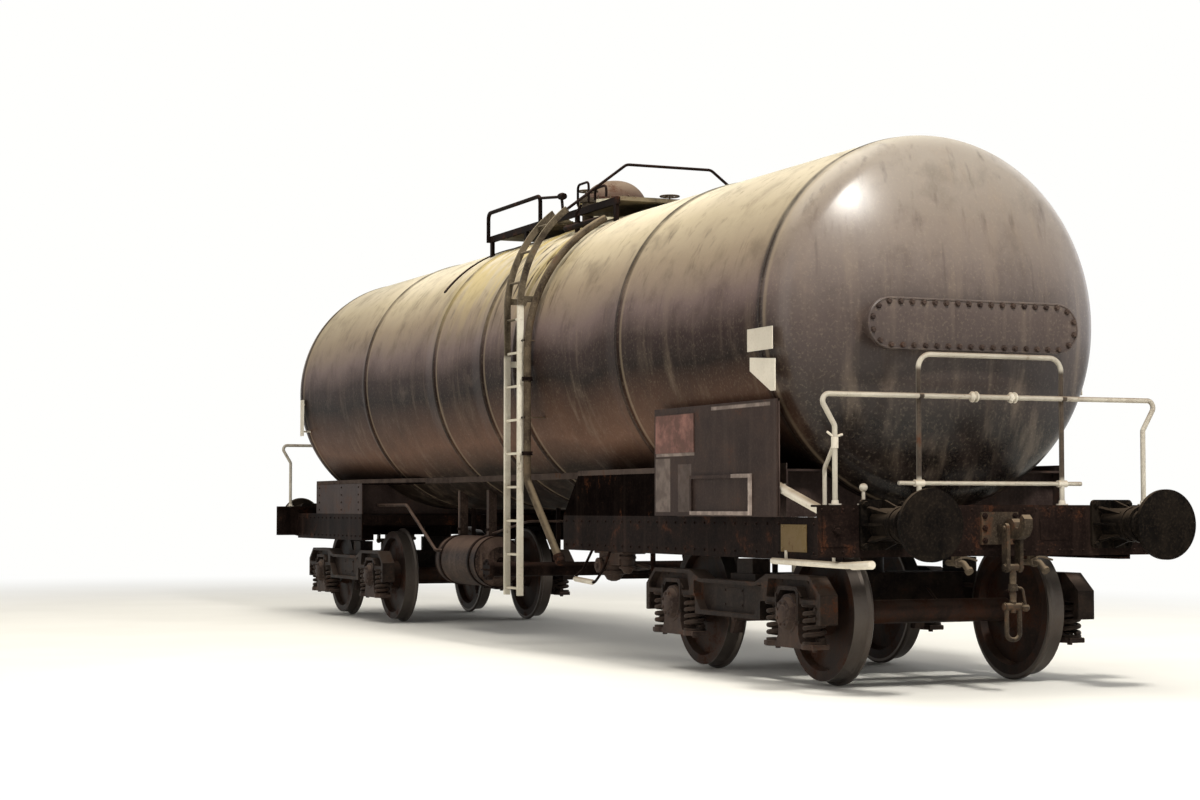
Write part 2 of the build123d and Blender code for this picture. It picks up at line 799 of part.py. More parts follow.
# Draw hook with its guide plate
hook_pin_x = headstock_face + 160
hook_pin_radius = 17.5
guide_plate = 20.0
hook_points = (
    (headstock_face + 90, -30), (headstock_face + 160, -62), (headstock_face + 250, -70),
    (headstock_face + 315, -45), (headstock_face + 345, 10), (headstock_face + 340, 62),
    (headstock_face + 312, 88), (headstock_face + 288, 70), (headstock_face + 290, 30),
    (headstock_face + 268, 2), (headstock_face + 236, 6), (headstock_face + 222, 40),
    (headstock_face + 200, 62), (headstock_face + 140, 60), (headstock_face + 90, 30),
)
with BuildPart() as draw_hook:
    add(block(headstock_face, headstock_face + guide_plate, -140, 140, hook_z - 105, hook_z + 105))
    add(block(headstock_face + guide_plate, headstock_face + 100, -hook_shank / 2, hook_shank / 2,
              hook_z - hook_shank / 2, hook_z + hook_shank / 2))
    add(profile([(x, hook_z + z) for x, z in hook_points], hook_plate / 2, -hook_plate / 2))
    with BuildSketch(side_plane(0)):
        with Locations((hook_pin_x, hook_z)):
            Circle(hook_pin_radius + bearing_gap)
    extrude(amount=hook_plate, both=True, mode=Mode.SUBTRACT)
save_at_both_ends(draw_hook.part, "draw_hook")

# Screw coupling, hanging from the hook's pin
link_inner_y = hook_plate / 2 + 6
link_thickness = 24.0
link_width = 64.0
nut_radius = 24.0
link_length = 250.0
screw_length = 250.0
shackle_length = 210.0
link_outer_y = link_inner_y + link_thickness
shackle_y = link_inner_y + link_thickness / 2
nut_z = hook_z - link_length
lower_nut_z = nut_z - screw_length
with BuildPart() as screw_coupling:
    with BuildSketch(side_plane(0)):
        with Locations((hook_pin_x, hook_z)):
            Circle(hook_pin_radius)
    extrude(amount=link_outer_y + 14, both=True)
    for side in (1, -1):
        with BuildSketch(side_plane(side * link_inner_y)):
            with Locations(Location((hook_pin_x, (hook_z + nut_z) / 2, 0), (0, 0, 90))):
                SlotCenterToCenter(link_length, link_width)
        extrude(amount=-side * link_thickness)
    with BuildSketch(side_plane(0)):
        with Locations((hook_pin_x, nut_z), (hook_pin_x, lower_nut_z)):
            Circle(nut_radius)
    extrude(amount=link_outer_y, both=True)
    with BuildSketch(Plane.XY.offset(lower_nut_z - 40)):
        with Locations((hook_pin_x, 0)):
            Circle(19)
    extrude(amount=screw_length + 40)
    shackle_z = lower_nut_z - shackle_length
    add(rod(
        (
            (hook_pin_x, -shackle_y, lower_nut_z), (hook_pin_x, -shackle_y, shackle_z),
            (hook_pin_x, shackle_y, shackle_z), (hook_pin_x, shackle_y, lower_nut_z),
        ),
        15, shackle_y - 5,
    ))
save_at_both_ends(screw_coupling.part, "screw_coupling")

# Brake pipe ends with their cocks, below the headstock
cock_z = headstock_bottom_z - 44
cock_radius = 20.0
with BuildPart() as brake_cocks:
    for cock_y in (290.0, -290.0):
        add(rod(
            (
                (sill_end_x - 60, cock_y, cock_z), (headstock_face + 40, cock_y, cock_z),
                (headstock_face + 110, cock_y, cock_z - 56),
            ),
            cock_radius, 40,
        ))
        add(block(headstock_face - 60, headstock_face - 30, cock_y - 30, cock_y + 30,
                  cock_z, headstock_bottom_z))
save_at_both_ends(brake_cocks.part, "brake_cocks")

# Rails on the end of the frame: a handrail across and a hoop with a lower bar
rail_foot_z = headstock_top_z
end_handrail = rod(
    (
        (end_frame_x, -end_post_y, rail_foot_z), (end_frame_x, -end_post_y, rail_top + 1680),
        (end_frame_x, -end_rail_half, end_rail_z), (end_frame_x, end_rail_half, end_rail_z),
        (end_frame_x, end_post_y, rail_top + 1680), (end_frame_x, end_post_y, rail_foot_z),
    ),
    end_rail_radius, 45,
)

hoop_x = end_frame_x - 2 * end_rail_radius + 4
with BuildPart() as end_hoop:
    add(rod(
        (
            (hoop_x, -hoop_half, rail_foot_z), (hoop_x, -hoop_half, hoop_top_z),
            (hoop_x, hoop_half, hoop_top_z), (hoop_x, hoop_half, rail_foot_z),
        ),
        end_rail_radius, 90,
    ))
    with BuildSketch(Plane(origin=(hoop_x, 0, hoop_bar_z), z_dir=(0, -1, 0))):
        Circle(hoop_bar_radius)
    extrude(amount=hoop_bar_half, both=True)

# A strut from the post down to the long sill, and the changeover lever on the headstock
with BuildPart() as end_strut:
    add(rod(
        (
            (end_frame_x, -end_post_y, end_strut_z + 154), (end_strut_x, -end_strut_y, end_strut_z),
            (end_strut_x, -end_strut_y, sill_top_z),
        ),
        hoop_bar_radius, 40,
    ))
    with BuildSketch(Plane.XY.offset(headstock_top_z)):
        with Locations((end_frame_x, -lever_y)):
            Circle(11)
    extrude(amount=lever_z - headstock_top_z)
    with Locations((end_frame_x, -lever_y, lever_z)):
        Sphere(27)
save_at_both_ends(joined(end_handrail, end_hoop.part, end_strut.part), "end_rails")

# Oval cover standing off each tank head
cover_x = head_apex_x + cover_standoff
cover_root_x = join_x - 300
with BuildPart() as end_cover:
    with BuildSketch(Plane(origin=(cover_x, 0, cover_z), x_dir=(0, 1, 0), z_dir=(1, 0, 0))):
        SlotOverall(2 * cover_half_length, 2 * cover_half_height)
    extrude(amount=cover_thickness)
    with BuildSketch(Plane(origin=(cover_root_x, 0, cover_z), x_dir=(0, 1, 0), z_dir=(1, 0, 0))):
        SlotOverall(
            2 * (cover_half_length - cover_neck_inset),
            2 * (cover_half_height - cover_neck_inset),
        )
    extrude(amount=cover_x - cover_root_x)
    add(tank.part, mode=Mode.SUBTRACT)
end_cover_solids = end_cover.part.solids()
save_at_both_ends(max(end_cover_solids, key=lambda solid: solid.bounding_box().max.X), "end_cover")

# Panels beside the tank above the long sill, each with a raised frame and a flat placard
panel_frame_start_x = panel_start_x + 620
panel_frame_end_x = panel_end_x - 356
panel_frame_low_z = panel_bottom_z + 8
panel_frame_high_z = panel_frame_low_z + 278
placard_start_x = panel_start_x + 30
placard_end_x = placard_start_x + 640
placard_high_z = panel_top_z - 50
with BuildPart() as side_panel:
    add(block(panel_start_x, panel_end_x, -panel_y, -panel_y + panel_thickness,
              panel_bottom_z, panel_top_z))
    add(block(panel_frame_start_x, panel_frame_end_x, -panel_y - panel_frame_depth, -panel_y,
              panel_frame_low_z, panel_frame_high_z))
    with BuildSketch(side_plane(-panel_y)):
        with Locations((
            (panel_frame_start_x + panel_frame_end_x) / 2, (panel_frame_low_z + panel_frame_high_z) / 2,
        )):
            Rectangle(
                panel_frame_end_x - panel_frame_start_x - 2 * panel_frame_width,
                panel_frame_high_z - panel_frame_low_z - 2 * panel_frame_width,
            )
    extrude(amount=panel_frame_depth, mode=Mode.SUBTRACT)
    add(block(placard_start_x, placard_end_x, -panel_y - 6, -panel_y,
              placard_high_z - 275, placard_high_z))
    for bracket_x in (panel_start_x + 180, pivot_x + 100, panel_end_x - 246):
        add(block(bracket_x - 25, bracket_x + 25, -panel_y + panel_thickness, -sill_outer_y,
                  sill_top_z + 90, sill_top_z + 140))
save_at_both_ends(side_panel.part, "side_panel")

# Small plates on stand-offs beside the head welds: a square one over a pointed one near the
# long sill, and an upright one on the other side
label_y = tank_radius + 26
label_start_x = barrel_half - 120
label_end_x = barrel_half + 236
label_leg_x = barrel_half - 56
with BuildPart() as label_plates:
    add(block(label_start_x, label_end_x, -label_y, -label_y + 6, rail_top + 2200, rail_top + 2350))
    add(profile(
        (
            (label_start_x + 36, rail_top + 2160), (label_start_x + 36, rail_top + 2070),
            (label_end_x - 24, rail_top + 1925), (label_end_x + 36, rail_top + 1925),
            (label_end_x + 36, rail_top + 2135),
        ),
        -label_y + 6, -label_y,
    ))
    for z in (2100, 2270):
        add(block(label_leg_x - 10, label_leg_x + 10, -label_y + 6, -tank_radius / 2,
                  rail_top + z, rail_top + z + 20))
    add(block(barrel_half - 156, barrel_half - 26, label_y - 6, label_y, rail_top + 1960, rail_top + 2360))
    for z in (2000, 2300):
        add(block(barrel_half - 106, barrel_half - 86, tank_radius / 2, label_y - 6,
                  rail_top + z, rail_top + z + 20))
    add(tank.part, mode=Mode.SUBTRACT)
save_at_both_ends(label_plates.part, "label_plates")

# Corner grab tubes by the headstock, and a stay from the sill's end up to the saddle, in the
# room between the sill and the panel
grab_radius = 21.0
grab_y = sill_outer_y + 50
stay_room = panel_y - panel_thickness - sill_outer_y
stay_radius = stay_room / 4
stay_y = sill_outer_y + stay_room * 0.57
stay_top_x = saddle_end_x - 80
with BuildPart() as corner_tubes:
    add(rod(
        (
            (sill_end_x - 850, -grab_y, sill_bottom_z - 10),
            (headstock_face + 20, -grab_y, sill_bottom_z - 20),
            (headstock_face + 355, -grab_y, sill_bottom_z - 8),
        ),
        grab_radius, 200,
    ))
    for x in (sill_end_x - 750, sill_end_x - 110):
        add(block(x - 15, x + 15, -grab_y - 10, -sill_outer_y, sill_bottom_z - 26, sill_bottom_z - 2))
        add(block(x - 15, x + 15, -sill_outer_y - 8, -sill_outer_y, sill_bottom_z - 4, sill_bottom_z + 60))
    add(rod(((stay_top_x, -stay_y, saddle_top_z - 90), (sill_end_x, -stay_y, sill_top_z + 5)), stay_radius))
    add(block(stay_top_x + 20, stay_top_x + 70, -stay_y, -sill_outer_y,
              saddle_top_z - 130, saddle_top_z - 100))
save_at_both_ends(corner_tubes.part, "corner_tubes")

# Air reservoir under the tank on two hangers, with the pipes that feed and empty it
tank_core_z = tank_z - tank_radius / 2
reservoir_length = reservoir_end_x - reservoir_start_x
feed_pipe_y = reservoir_y + 270
with BuildPart() as air_reservoir:
    add(turned_about((reservoir_start_x, -reservoir_y, reservoir_z), (1, 0, 0), (
        (0, 0), (20, reservoir_radius - 100), (reservoir_cap, reservoir_radius),
        (reservoir_length - reservoir_cap, reservoir_radius),
        (reservoir_length - 20, reservoir_radius - 100), (reservoir_length, 0),
    )))
    for x in reservoir_hangers:
        add(block(x - 30, x + 30, -reservoir_y - 40, -reservoir_y + 40, reservoir_z + 200, tank_core_z))
    add(rod(
        (
            (-saddle_start_x - 120 + saddle_web_half + seat_gap, -feed_pipe_y, sill_top_z + 90),
            (reservoir_start_x - 720, -feed_pipe_y, sill_top_z + 90),
            (reservoir_start_x + 190, -feed_pipe_y, reservoir_z + 90),
            (reservoir_start_x + 330, -reservoir_y - 100, reservoir_z + 90),
        ),
        feed_pipe_radius, (80, 60),
    ))
    add(rod(
        (
            (reservoir_end_x - 560, -reservoir_y, reservoir_z + reservoir_radius - 20),
            (brake_pipe_x, -reservoir_y, brake_pipe_z), (brake_pipe_x, brake_cylinder_y, brake_pipe_z),
            (brake_cylinder_x + 30, brake_cylinder_y, brake_pipe_z),
            (brake_cylinder_x + 30, brake_cylinder_y, brake_cylinder_z + brake_cylinder_radius + seat_gap),
        ),
        brake_pipe_radius, (60, 60, 60),
    ))
    add(tank.part, mode=Mode.SUBTRACT)
save(air_reservoir.part, "air_reservoir")

# Bottom outlet: a standpipe and a cross pipe with a flanged cover at each side
pipe_flange = 92.0
with BuildPart() as outlet_pipe:
    with BuildSketch(Plane.XY.offset(outlet_z)):
        with Locations((outlet_x, 0)):
            Circle(outlet_radius + 20)
    extrude(amount=tank_core_z - outlet_z)
    add(turned_about((outlet_x, -outlet_reach, outlet_z), (0, 1, 0), (
        (0, 0), (0, pipe_flange), (46, pipe_flange), (46, outlet_radius),
        (2 * outlet_reach - 46, outlet_radius), (2 * outlet_reach - 46, pipe_flange),
        (2 * outlet_reach, pipe_flange), (2 * outlet_reach, 0),
    )))
    add(tank.part, mode=Mode.SUBTRACT)
save(outlet_pipe.part, "outlet_pipe")

# Brake cylinder, its brackets and the pull rods towards the bogies
with BuildPart() as brake_cylinder:
    add(turned_about((brake_cylinder_x, brake_cylinder_y, brake_cylinder_z), (1, 0, 0), (
        (0, 0), (0, brake_cylinder_radius), (brake_cylinder_length - 60, brake_cylinder_radius),
        (brake_cylinder_length, 60), (brake_cylinder_length, 0),
    )))
    for x in (brake_cylinder_x + 60, brake_cylinder_x + 280):
        add(block(x, x + 50, brake_cylinder_y - 40, brake_cylinder_y + 40,
                  brake_cylinder_z + 100, tank_core_z))
    add(tank.part, mode=Mode.SUBTRACT)

with BuildPart() as brake_rods:
    for side in (1, -1):
        rod_start = (side * pull_rod_start_x, side * pull_rod_y, pull_rod_z)
        with BuildSketch(Plane(origin=rod_start, z_dir=(side, 0, 0))):
            Circle(pull_rod_radius)
        extrude(amount=pull_rod_end_x - pull_rod_start_x)
        hang_y = sorted((side * (pull_rod_y - 20), side * (pull_rod_y + 20)))
        for x in (pull_rod_start_x + 80, pull_rod_end_x - 160):
            hang_x = sorted((side * x, side * (x + 24)))
            add(block(hang_x[0], hang_x[1], hang_y[0], hang_y[1], pull_rod_z, tank_core_z))
    add(block(pull_rod_start_x - 20, pull_rod_start_x + 20, -pull_rod_y - 80, brake_cylinder_y + 80,
              pull_rod_z - 24, pull_rod_z + 24))
    add(tank.part, mode=Mode.SUBTRACT)
save(joined(brake_cylinder.part, brake_rods.part), "brake_cylinder_rods")

# Bogies. Sizes along X are counted from the pivot.
half_base = wheelbase / 2


def bogie_points(points):
    """Points of a bogie's outline, mirrored about its middle and moved to its place."""
    right = [(pivot_x + x, z) for x, z in points]
    left = [(pivot_x - x, z) for x, z in reversed(points) if x > 0]
    return right + left


# Side frames: a crown over each axle, open below for the two springs and the axlebox between
# its horns, and pockets in the outer face. Points are distances from the pivot and heights.
horn_in = guide_half + 2
horn_out = horn_in + horn_thickness
bay_end = bogie_end - 58
leg_in = 2 * half_base - bay_end
crown_start = half_base - 300
waist_end = crown_start - 170
FRAME_OUTLINE = (
    (0, frame_waist_z), (waist_end, frame_waist_z), (crown_start, frame_crown_z),
    (bogie_end - 150, frame_crown_z), (bogie_end, frame_crown_z - 120),
    (bogie_end, frame_foot_z), (bay_end, frame_foot_z), (bay_end, spring_top_z),
    (half_base + horn_out, spring_top_z), (half_base + horn_out, frame_foot_z),
    (half_base + horn_in, frame_foot_z), (half_base + horn_in, window_side_z),
    (half_base + window_top_half, window_top_z), (half_base - window_top_half, window_top_z),
    (half_base - horn_in, window_side_z), (half_base - horn_in, frame_foot_z),
    (half_base - horn_out, frame_foot_z), (half_base - horn_out, spring_top_z),
    (leg_in, spring_top_z), (leg_in, frame_foot_z), (0, frame_foot_z),
)
ARCH_POCKET = (
    (crown_start, window_side_z), (half_base - 180, window_side_z), (half_base - 130, window_top_z + 27),
    (half_base + 130, window_top_z + 27), (half_base + 180, window_side_z), (bogie_end - 50, window_side_z),
    (bogie_end - 50, frame_crown_z - 115), (bogie_end - 160, frame_crown_z - 28),
    (crown_start + 30, frame_crown_z - 28),
)
MIDDLE_POCKET = (
    (0, frame_foot_z + 30), (leg_in - 90, frame_foot_z + 30), (leg_in - 30, frame_foot_z + 100),
    (leg_in + 20, window_side_z), (leg_in + 20, frame_waist_z - 10), (waist_end, frame_waist_z - 27),
    (0, frame_waist_z - 27),
)
pocket_depth = 60.0
with BuildPart() as bogie_frame:
    for side in (1, -1):
        outer_y = side * (bogie_frame_y + bogie_frame_width / 2)
        inner_y = side * (bogie_frame_y - bogie_frame_width / 2)
        add(profile(bogie_points(FRAME_OUTLINE), outer_y, inner_y, 10))
        floor_y = outer_y - side * pocket_depth
        for shift in (1, -1):
            pocket = [(pivot_x + shift * x, z) for x, z in ARCH_POCKET]
            add(profile(pocket, outer_y, floor_y, 16), mode=Mode.SUBTRACT)
        add(profile(bogie_points(MIDDLE_POCKET), outer_y, floor_y, 16), mode=Mode.SUBTRACT)
save_at_both_ends(bogie_frame.part, "bogie_frame")

bowl_top_z = pivot_seat_z - 0.5
with BuildPart() as bogie_transom:
    inner = bogie_frame_y - bogie_frame_width / 2
    add(block(pivot_x - transom_half, pivot_x + transom_half, -inner, inner, transom_bottom_z, transom_top_z))
    with BuildSketch(Plane.XY.offset(transom_top_z)):
        with Locations((pivot_x, 0)):
            Circle(pivot_radius + 30)
    extrude(amount=bowl_top_z - transom_top_z)
    with BuildSketch(Plane.XY.offset(pivot_bore_z)):
        with Locations((pivot_x, 0)):
            Circle(pivot_pin_radius + bearing_gap)
    extrude(amount=pivot_seat_z - pivot_bore_z, mode=Mode.SUBTRACT)
    for side in (1, -1):
        pad_y = sorted((side * (side_bearer_y - 70), side * (side_bearer_y + 70)))
        add(block(pivot_x - 120, pivot_x + 120, pad_y[0], pad_y[1], transom_top_z, side_bearer_z))
save_at_both_ends(bogie_transom.part, "bogie_transom")

# Axleboxes: a round housing between flat guides, on arms that end in round spring seats
housing_length = axlebox_outer_y - axlebox_inner_y
ARMS = (
    # distance from the axle, height
    (-arm_half, arm_bottom_z), (arm_half, arm_bottom_z), (arm_half, spring_seat_z),
    (guide_half + 32, spring_seat_z), (guide_half, spring_seat_z + 60), (guide_half, frame_foot_z + 130),
    (-guide_half, frame_foot_z + 130), (-guide_half, spring_seat_z + 60), (-guide_half - 32, spring_seat_z),
    (-arm_half, spring_seat_z),
)
with BuildPart() as axleboxes:
    for side in (1, -1):
        for shift in (half_base, -half_base):
            axle_x = pivot_x + shift
            mid_y = side * bogie_frame_y
            arms = [(axle_x + x, z) for x, z in ARMS]
            add(profile(arms, mid_y - arm_width / 2, mid_y + arm_width / 2, 12))
            with BuildSketch(Plane.XY.offset(arm_bottom_z)):
                with Locations((axle_x - spring_offset, mid_y), (axle_x + spring_offset, mid_y)):
                    Circle(spring_radius + 6)
            extrude(amount=spring_seat_z - arm_bottom_z)
            add(turned_about((axle_x, side * axlebox_inner_y, axle_z), (0, side, 0), (
                (0, 0), (0, axlebox_radius), (housing_length - 30, axlebox_radius),
                (housing_length - 30, axlebox_cover_radius), (housing_length, axlebox_cover_radius - 14),
                (housing_length, 0),
            )))
            bore_start = (axle_x, side * (axlebox_inner_y - 5), axle_z)
            with BuildSketch(Plane(origin=bore_start, z_dir=(0, side, 0))):
                Circle(journal_radius + bearing_gap)
            extrude(amount=journal_end_y + 11 - axlebox_inner_y, mode=Mode.SUBTRACT)
save_at_both_ends(axleboxes.part, "axleboxes")

# Coil springs between the seats on the arms and the side frames, each with a cap at its ends
spring_foot_z = spring_seat_z + seat_gap
spring_head_z = spring_top_z - seat_gap
coil_start_z = spring_foot_z + spring_cap + spring_wire / 2
coil_height = spring_head_z - spring_cap - spring_wire / 2 - coil_start_z
with BuildPart() as spring:
    with BuildLine() as coil:
        Helix(coil_height / spring_turns, coil_height, spring_radius - spring_wire,
              center=(0, 0, coil_start_z))
    with BuildSketch(Plane(origin=coil.line @ 0, z_dir=coil.line % 0)):
        Circle(spring_wire)
    sweep(is_frenet=True)
    for cap_z in (spring_foot_z, spring_head_z - spring_cap):
        with BuildSketch(Plane.XY.offset(cap_z)):
            Circle(spring_radius)
        extrude(amount=spring_cap)
spring_spots = [
    (pivot_x + shift + lean, side * bogie_frame_y)
    for side in (1, -1)
    for shift in (half_base, -half_base)
    for lean in (spring_offset, -spring_offset)
]
with BuildPart() as bogie_springs:
    with Locations(*spring_spots):
        add(spring.part)
save_at_both_ends(bogie_springs.part, "bogie_springs")

# Brake shoes on the inner side of each wheel, hung from the transom
shoe_inner = wheel_radius + shoe_gap
shoe_outer = shoe_inner + shoe_thickness
with BuildPart() as bogie_brakes:
    for shift in (1, -1):
        axle_x = pivot_x + shift * half_base
        beam_x = axle_x - shift * (shoe_outer + 26)
        for side in (1, -1):
            with BuildSketch(side_plane(side * shoe_y)):
                with Locations((axle_x, axle_z)):
                    Circle(shoe_outer)
                    Circle(shoe_inner, mode=Mode.SUBTRACT)
                with Locations((axle_x - shift * (shoe_inner + 32), axle_z - 40)):
                    Rectangle(300, 2 * shoe_half_height, mode=Mode.INTERSECT)
            extrude(amount=shoe_width / 2, both=True)
            hold = sorted((axle_x - shift * (shoe_inner + 30), beam_x))
            add(block(hold[0], hold[1], side * shoe_y - 22, side * shoe_y + 22,
                      brake_beam_z - 30, brake_beam_z + 30))
            hanger_y = (side * shoe_y - 12, side * shoe_y + 12)
            add(block(beam_x - 16, beam_x + 16, hanger_y[0], hanger_y[1], brake_beam_z, brake_arm_z))
            arm = sorted((beam_x, pivot_x + shift * transom_half))
            add(block(arm[0], arm[1], hanger_y[0], hanger_y[1], brake_arm_z - 30, brake_arm_z))
        with BuildSketch(Plane(origin=(beam_x, 0, brake_beam_z), z_dir=(0, -1, 0))):
            Circle(brake_beam_radius)
        extrude(amount=shoe_y + 60, both=True)
save_at_both_ends(bogie_brakes.part, "bogie_brakes")

# Wheelsets: two wheels on one axle, turned together
web_inner_y = 735.0
WHEEL_HALF = (
    # distance from the middle of the axle, radius
    (0.0, axle_radius), (hub_inner_y, axle_radius), (hub_inner_y, hub_radius),
    (web_inner_y - 30, hub_radius + 16), (web_inner_y, rim_inner_radius - 16), (wheel_back, rim_inner_radius),
    (wheel_back, flange_radius - 14), (wheel_back + 10, flange_radius), (wheel_back + 22, flange_radius),
    (wheel_back + 36, wheel_radius + 4), (wheel_back + 60, wheel_radius),
    (wheel_back + rim_width, wheel_radius - 4), (wheel_back + rim_width, rim_inner_radius),
    (web_inner_y + web_thickness, rim_inner_radius - 16), (web_inner_y - 2 + web_thickness, hub_radius + 20),
    (hub_outer_y, hub_radius), (hub_outer_y, collar_radius), (collar_end_y, collar_radius),
    (collar_end_y, journal_radius), (journal_end_y, journal_radius),
)
wheel_points =[(-y, r) for y, r in reversed(WHEEL_HALF[1:])] + list(WHEEL_HALF[1:])
wheel_points += [(journal_end_y, 0.0), (-journal_end_y, 0.0)]
WHEELSETS = (
    ("wheelset_1", pivot_x + half_base), ("wheelset_2", pivot_x - half_base),
    ("wheelset_3", -pivot_x + half_base), ("wheelset_4", -pivot_x - half_base),
)
for name, x in WHEELSETS:
    save(turned_about((x, 0, axle_z), (0, 1, 0), wheel_points), name)
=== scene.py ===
"""Four-axle railway tank wagon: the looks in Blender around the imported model.

The row frame is used throughout: metres, X along the wagon, Y across it, Z up, and Z = 0 at
the lowest point of the wheel flanges. Each sub-assembly is a class that holds its sizes,
builds its meshes from numpy arrays and dresses them in node materials. Most trim is written
once, at end A or on the front side, where Y is below 0. at_both_ends() and mirrored() add
the rest.
"""

import json
import logging
import math
from dataclasses import dataclass, field
from enum import Enum
from functools import cache, cached_property
from typing import Iterable, Optional, Sequence

import bmesh
import bpy
import numpy as np
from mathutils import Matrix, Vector

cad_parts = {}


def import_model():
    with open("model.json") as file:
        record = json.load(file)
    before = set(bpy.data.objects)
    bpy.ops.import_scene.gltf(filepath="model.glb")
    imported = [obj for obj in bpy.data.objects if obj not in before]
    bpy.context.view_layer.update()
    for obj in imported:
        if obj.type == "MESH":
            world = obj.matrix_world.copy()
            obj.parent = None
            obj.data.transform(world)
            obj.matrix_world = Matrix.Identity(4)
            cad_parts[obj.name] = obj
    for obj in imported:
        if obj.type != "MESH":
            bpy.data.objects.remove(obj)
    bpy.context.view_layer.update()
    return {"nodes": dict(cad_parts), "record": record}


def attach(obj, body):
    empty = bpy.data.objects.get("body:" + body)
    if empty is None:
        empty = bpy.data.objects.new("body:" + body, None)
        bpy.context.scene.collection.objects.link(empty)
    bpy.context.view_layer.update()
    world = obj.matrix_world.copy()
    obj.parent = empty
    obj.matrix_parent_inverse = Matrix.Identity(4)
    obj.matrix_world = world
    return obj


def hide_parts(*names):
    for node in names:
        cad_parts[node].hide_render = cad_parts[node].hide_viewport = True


LOG = logging.getLogger("tank_wagon")
TAU = 2.0 * math.pi
ON_AXIS = 1e-9
JOIN_WITHIN = 1e-6

TANK_AXIS_Z = 2.458
TANK_RADIUS = 1.283
MANHOLE_X = 0.23
PIVOT_X = 4.6
HALF_BASE = 0.9
AXLE_Z = 0.488

Points = np.ndarray
Point = Sequence[float]
Pairs = Sequence[Point]
Socket = bpy.types.NodeSocket
Node = bpy.types.Node
Material = bpy.types.Material

ALONG, ACROSS, UP = (1, 0, 0), (0, 1, 0), (0, 0, 1)
BACK, OUT, DOWN = (-1, 0, 0), (0, -1, 0), (0, 0, -1)


class End(Enum):
    """The two ends of the wagon, by the letter in node names."""

    A = "a"
    B = "b"


class Shading(Enum):
    """How a piece's faces are shaded."""

    FLAT = "flat"
    BY_ANGLE = "by_angle"


# ---- mesh arrays


@dataclass
class Surface:
    """Vertices and faces as arrays, before they become a mesh.

    Attributes:
        points: vertex positions, one row each.
        quads: four corner numbers a row.
        fans: longer faces, each an array of corner numbers.
    """

    points: Points
    quads: np.ndarray
    fans: list = field(default_factory=list)

    def at(self, end: End) -> "Surface":
        """The surface at an end: as it is at end A, turned half round about Z at end B."""
        return self if end is End.A else Surface(self.points * (-1.0, -1.0, 1.0), self.quads, self.fans)


def merge(parts: Iterable[Surface]) -> Surface:
    """Joins surfaces into one.

    Args:
        parts: the surfaces to join.

    Returns:
        One surface with all points, quads and fans, the corner numbers shifted to match.
    """
    points, quads, fans, shift = [], [], [], 0
    for part in parts:
        points.append(part.points)
        quads.append(part.quads + shift)
        fans += [fan + shift for fan in part.fans]
        shift += len(part.points)
    return Surface(np.concatenate(points), np.concatenate(quads), fans)


def mirrored(one: Surface) -> Surface:
    """The surface and its mirror image across the wagon's long middle plane."""
    other = Surface(one.points * (1.0, -1.0, 1.0), one.quads[:, ::-1], [fan[::-1] for fan in one.fans])
    return merge([one, other])


def copies(points: Points, quads: np.ndarray, fans: Sequence[np.ndarray] = ()) -> Surface:
    """One surface from many copies of a small one.

    Args:
        points: the points, as an array of copies, points and coordinates.
        quads: the first copy's quads.
        fans: its longer faces.

    Returns:
        All the copies, the corner numbers shifted by each copy's first point.
    """
    shift = points.shape[1] * np.arange(len(points))
    every = (quads[None] + shift[:, None, None]).reshape(-1, 4)
    return Surface(points.reshape(-1, 3), every, [fan + step for step in shift for fan in fans])


def grid_quads(rings: int, around: int, closed: bool = False) -> np.ndarray:
    """Corner numbers of the quads between rings of points.

    Args:
        rings: the number of rings.
        around: the number of points on each ring.
        closed: whether the last ring joins the first.

    Returns:
        Corners (i, j), (i, j+1), (i+1, j+1), (i+1, j) of each cell.
    """
    i, j = np.meshgrid(np.arange(rings if closed else rings - 1), np.arange(around), indexing="ij")
    i2, j2 = (i + 1) % rings, (j + 1) % around
    corners = [i * around + j, i * around + j2, i2 * around + j2, i2 * around + j]
    return np.stack(corners, axis=-1).reshape(-1, 4)


def unit(vectors: Pairs) -> np.ndarray:
    """Vectors divided by their lengths."""
    vectors = np.asarray(vectors, float)
    return vectors / np.linalg.norm(vectors, axis=-1, keepdims=True)


def circle(centre: Point, axis: Point, radius: float, count: int, start: float = 0.0) -> Points:
    """Points evenly round a circle: centre + radius (cos t side + sin t up).

    Args:
        centre: the circle's middle.
        axis: the direction a square to it. Side is h x a and up is a x side, where h is Z, or
            X where the axis is steep.
        radius: its radius.
        count: the number of points.
        start: the first point's angle in radians.

    Returns:
        The points, one a row.
    """
    a = unit(axis)
    side = unit(np.cross(UP if abs(a[2]) < 0.9 else ALONG, a))
    t = start + np.linspace(0.0, TAU, count, endpoint=False)[:, None]
    return np.asarray(centre, float) + radius * (np.cos(t) * side + np.sin(t) * np.cross(a, side))


def turned(profile: Pairs, origin: Point, axis: Point, steps: int) -> Surface:
    """A turned shape: each profile point (d, r) goes round at distance d along the axis, radius r.

    Args:
        profile: (distance along the axis, radius) pairs.
        origin: the point that distances count from.
        axis: the direction of the axis.
        steps: points round the circle.

    Returns:
        The closed surface: with flat ends if the profile touches the axis at either end, and
        else with its last ring joined to its first.
    """
    profile = np.asarray(profile, float)
    body = profile[profile[:, 1] > ON_AXIS]
    hollow = bool((profile[[0, -1], 1] > ON_AXIS).all())
    ring = circle((0, 0, 0), axis, 1.0, steps)
    points = np.asarray(origin, float) + body[:, None, :1] * unit(axis) + body[:, None, 1:] * ring
    quads = grid_quads(len(body), steps, hollow)
    rim = np.arange(steps)
    fans = [] if hollow else [rim, rim[::-1] + (len(body) - 1) * steps]
    if body[-1, 0] >= body[0, 0]:
        quads, fans = quads[:, ::-1], [fan[::-1] for fan in fans]
    return Surface(points.reshape(-1, 3), quads, fans)


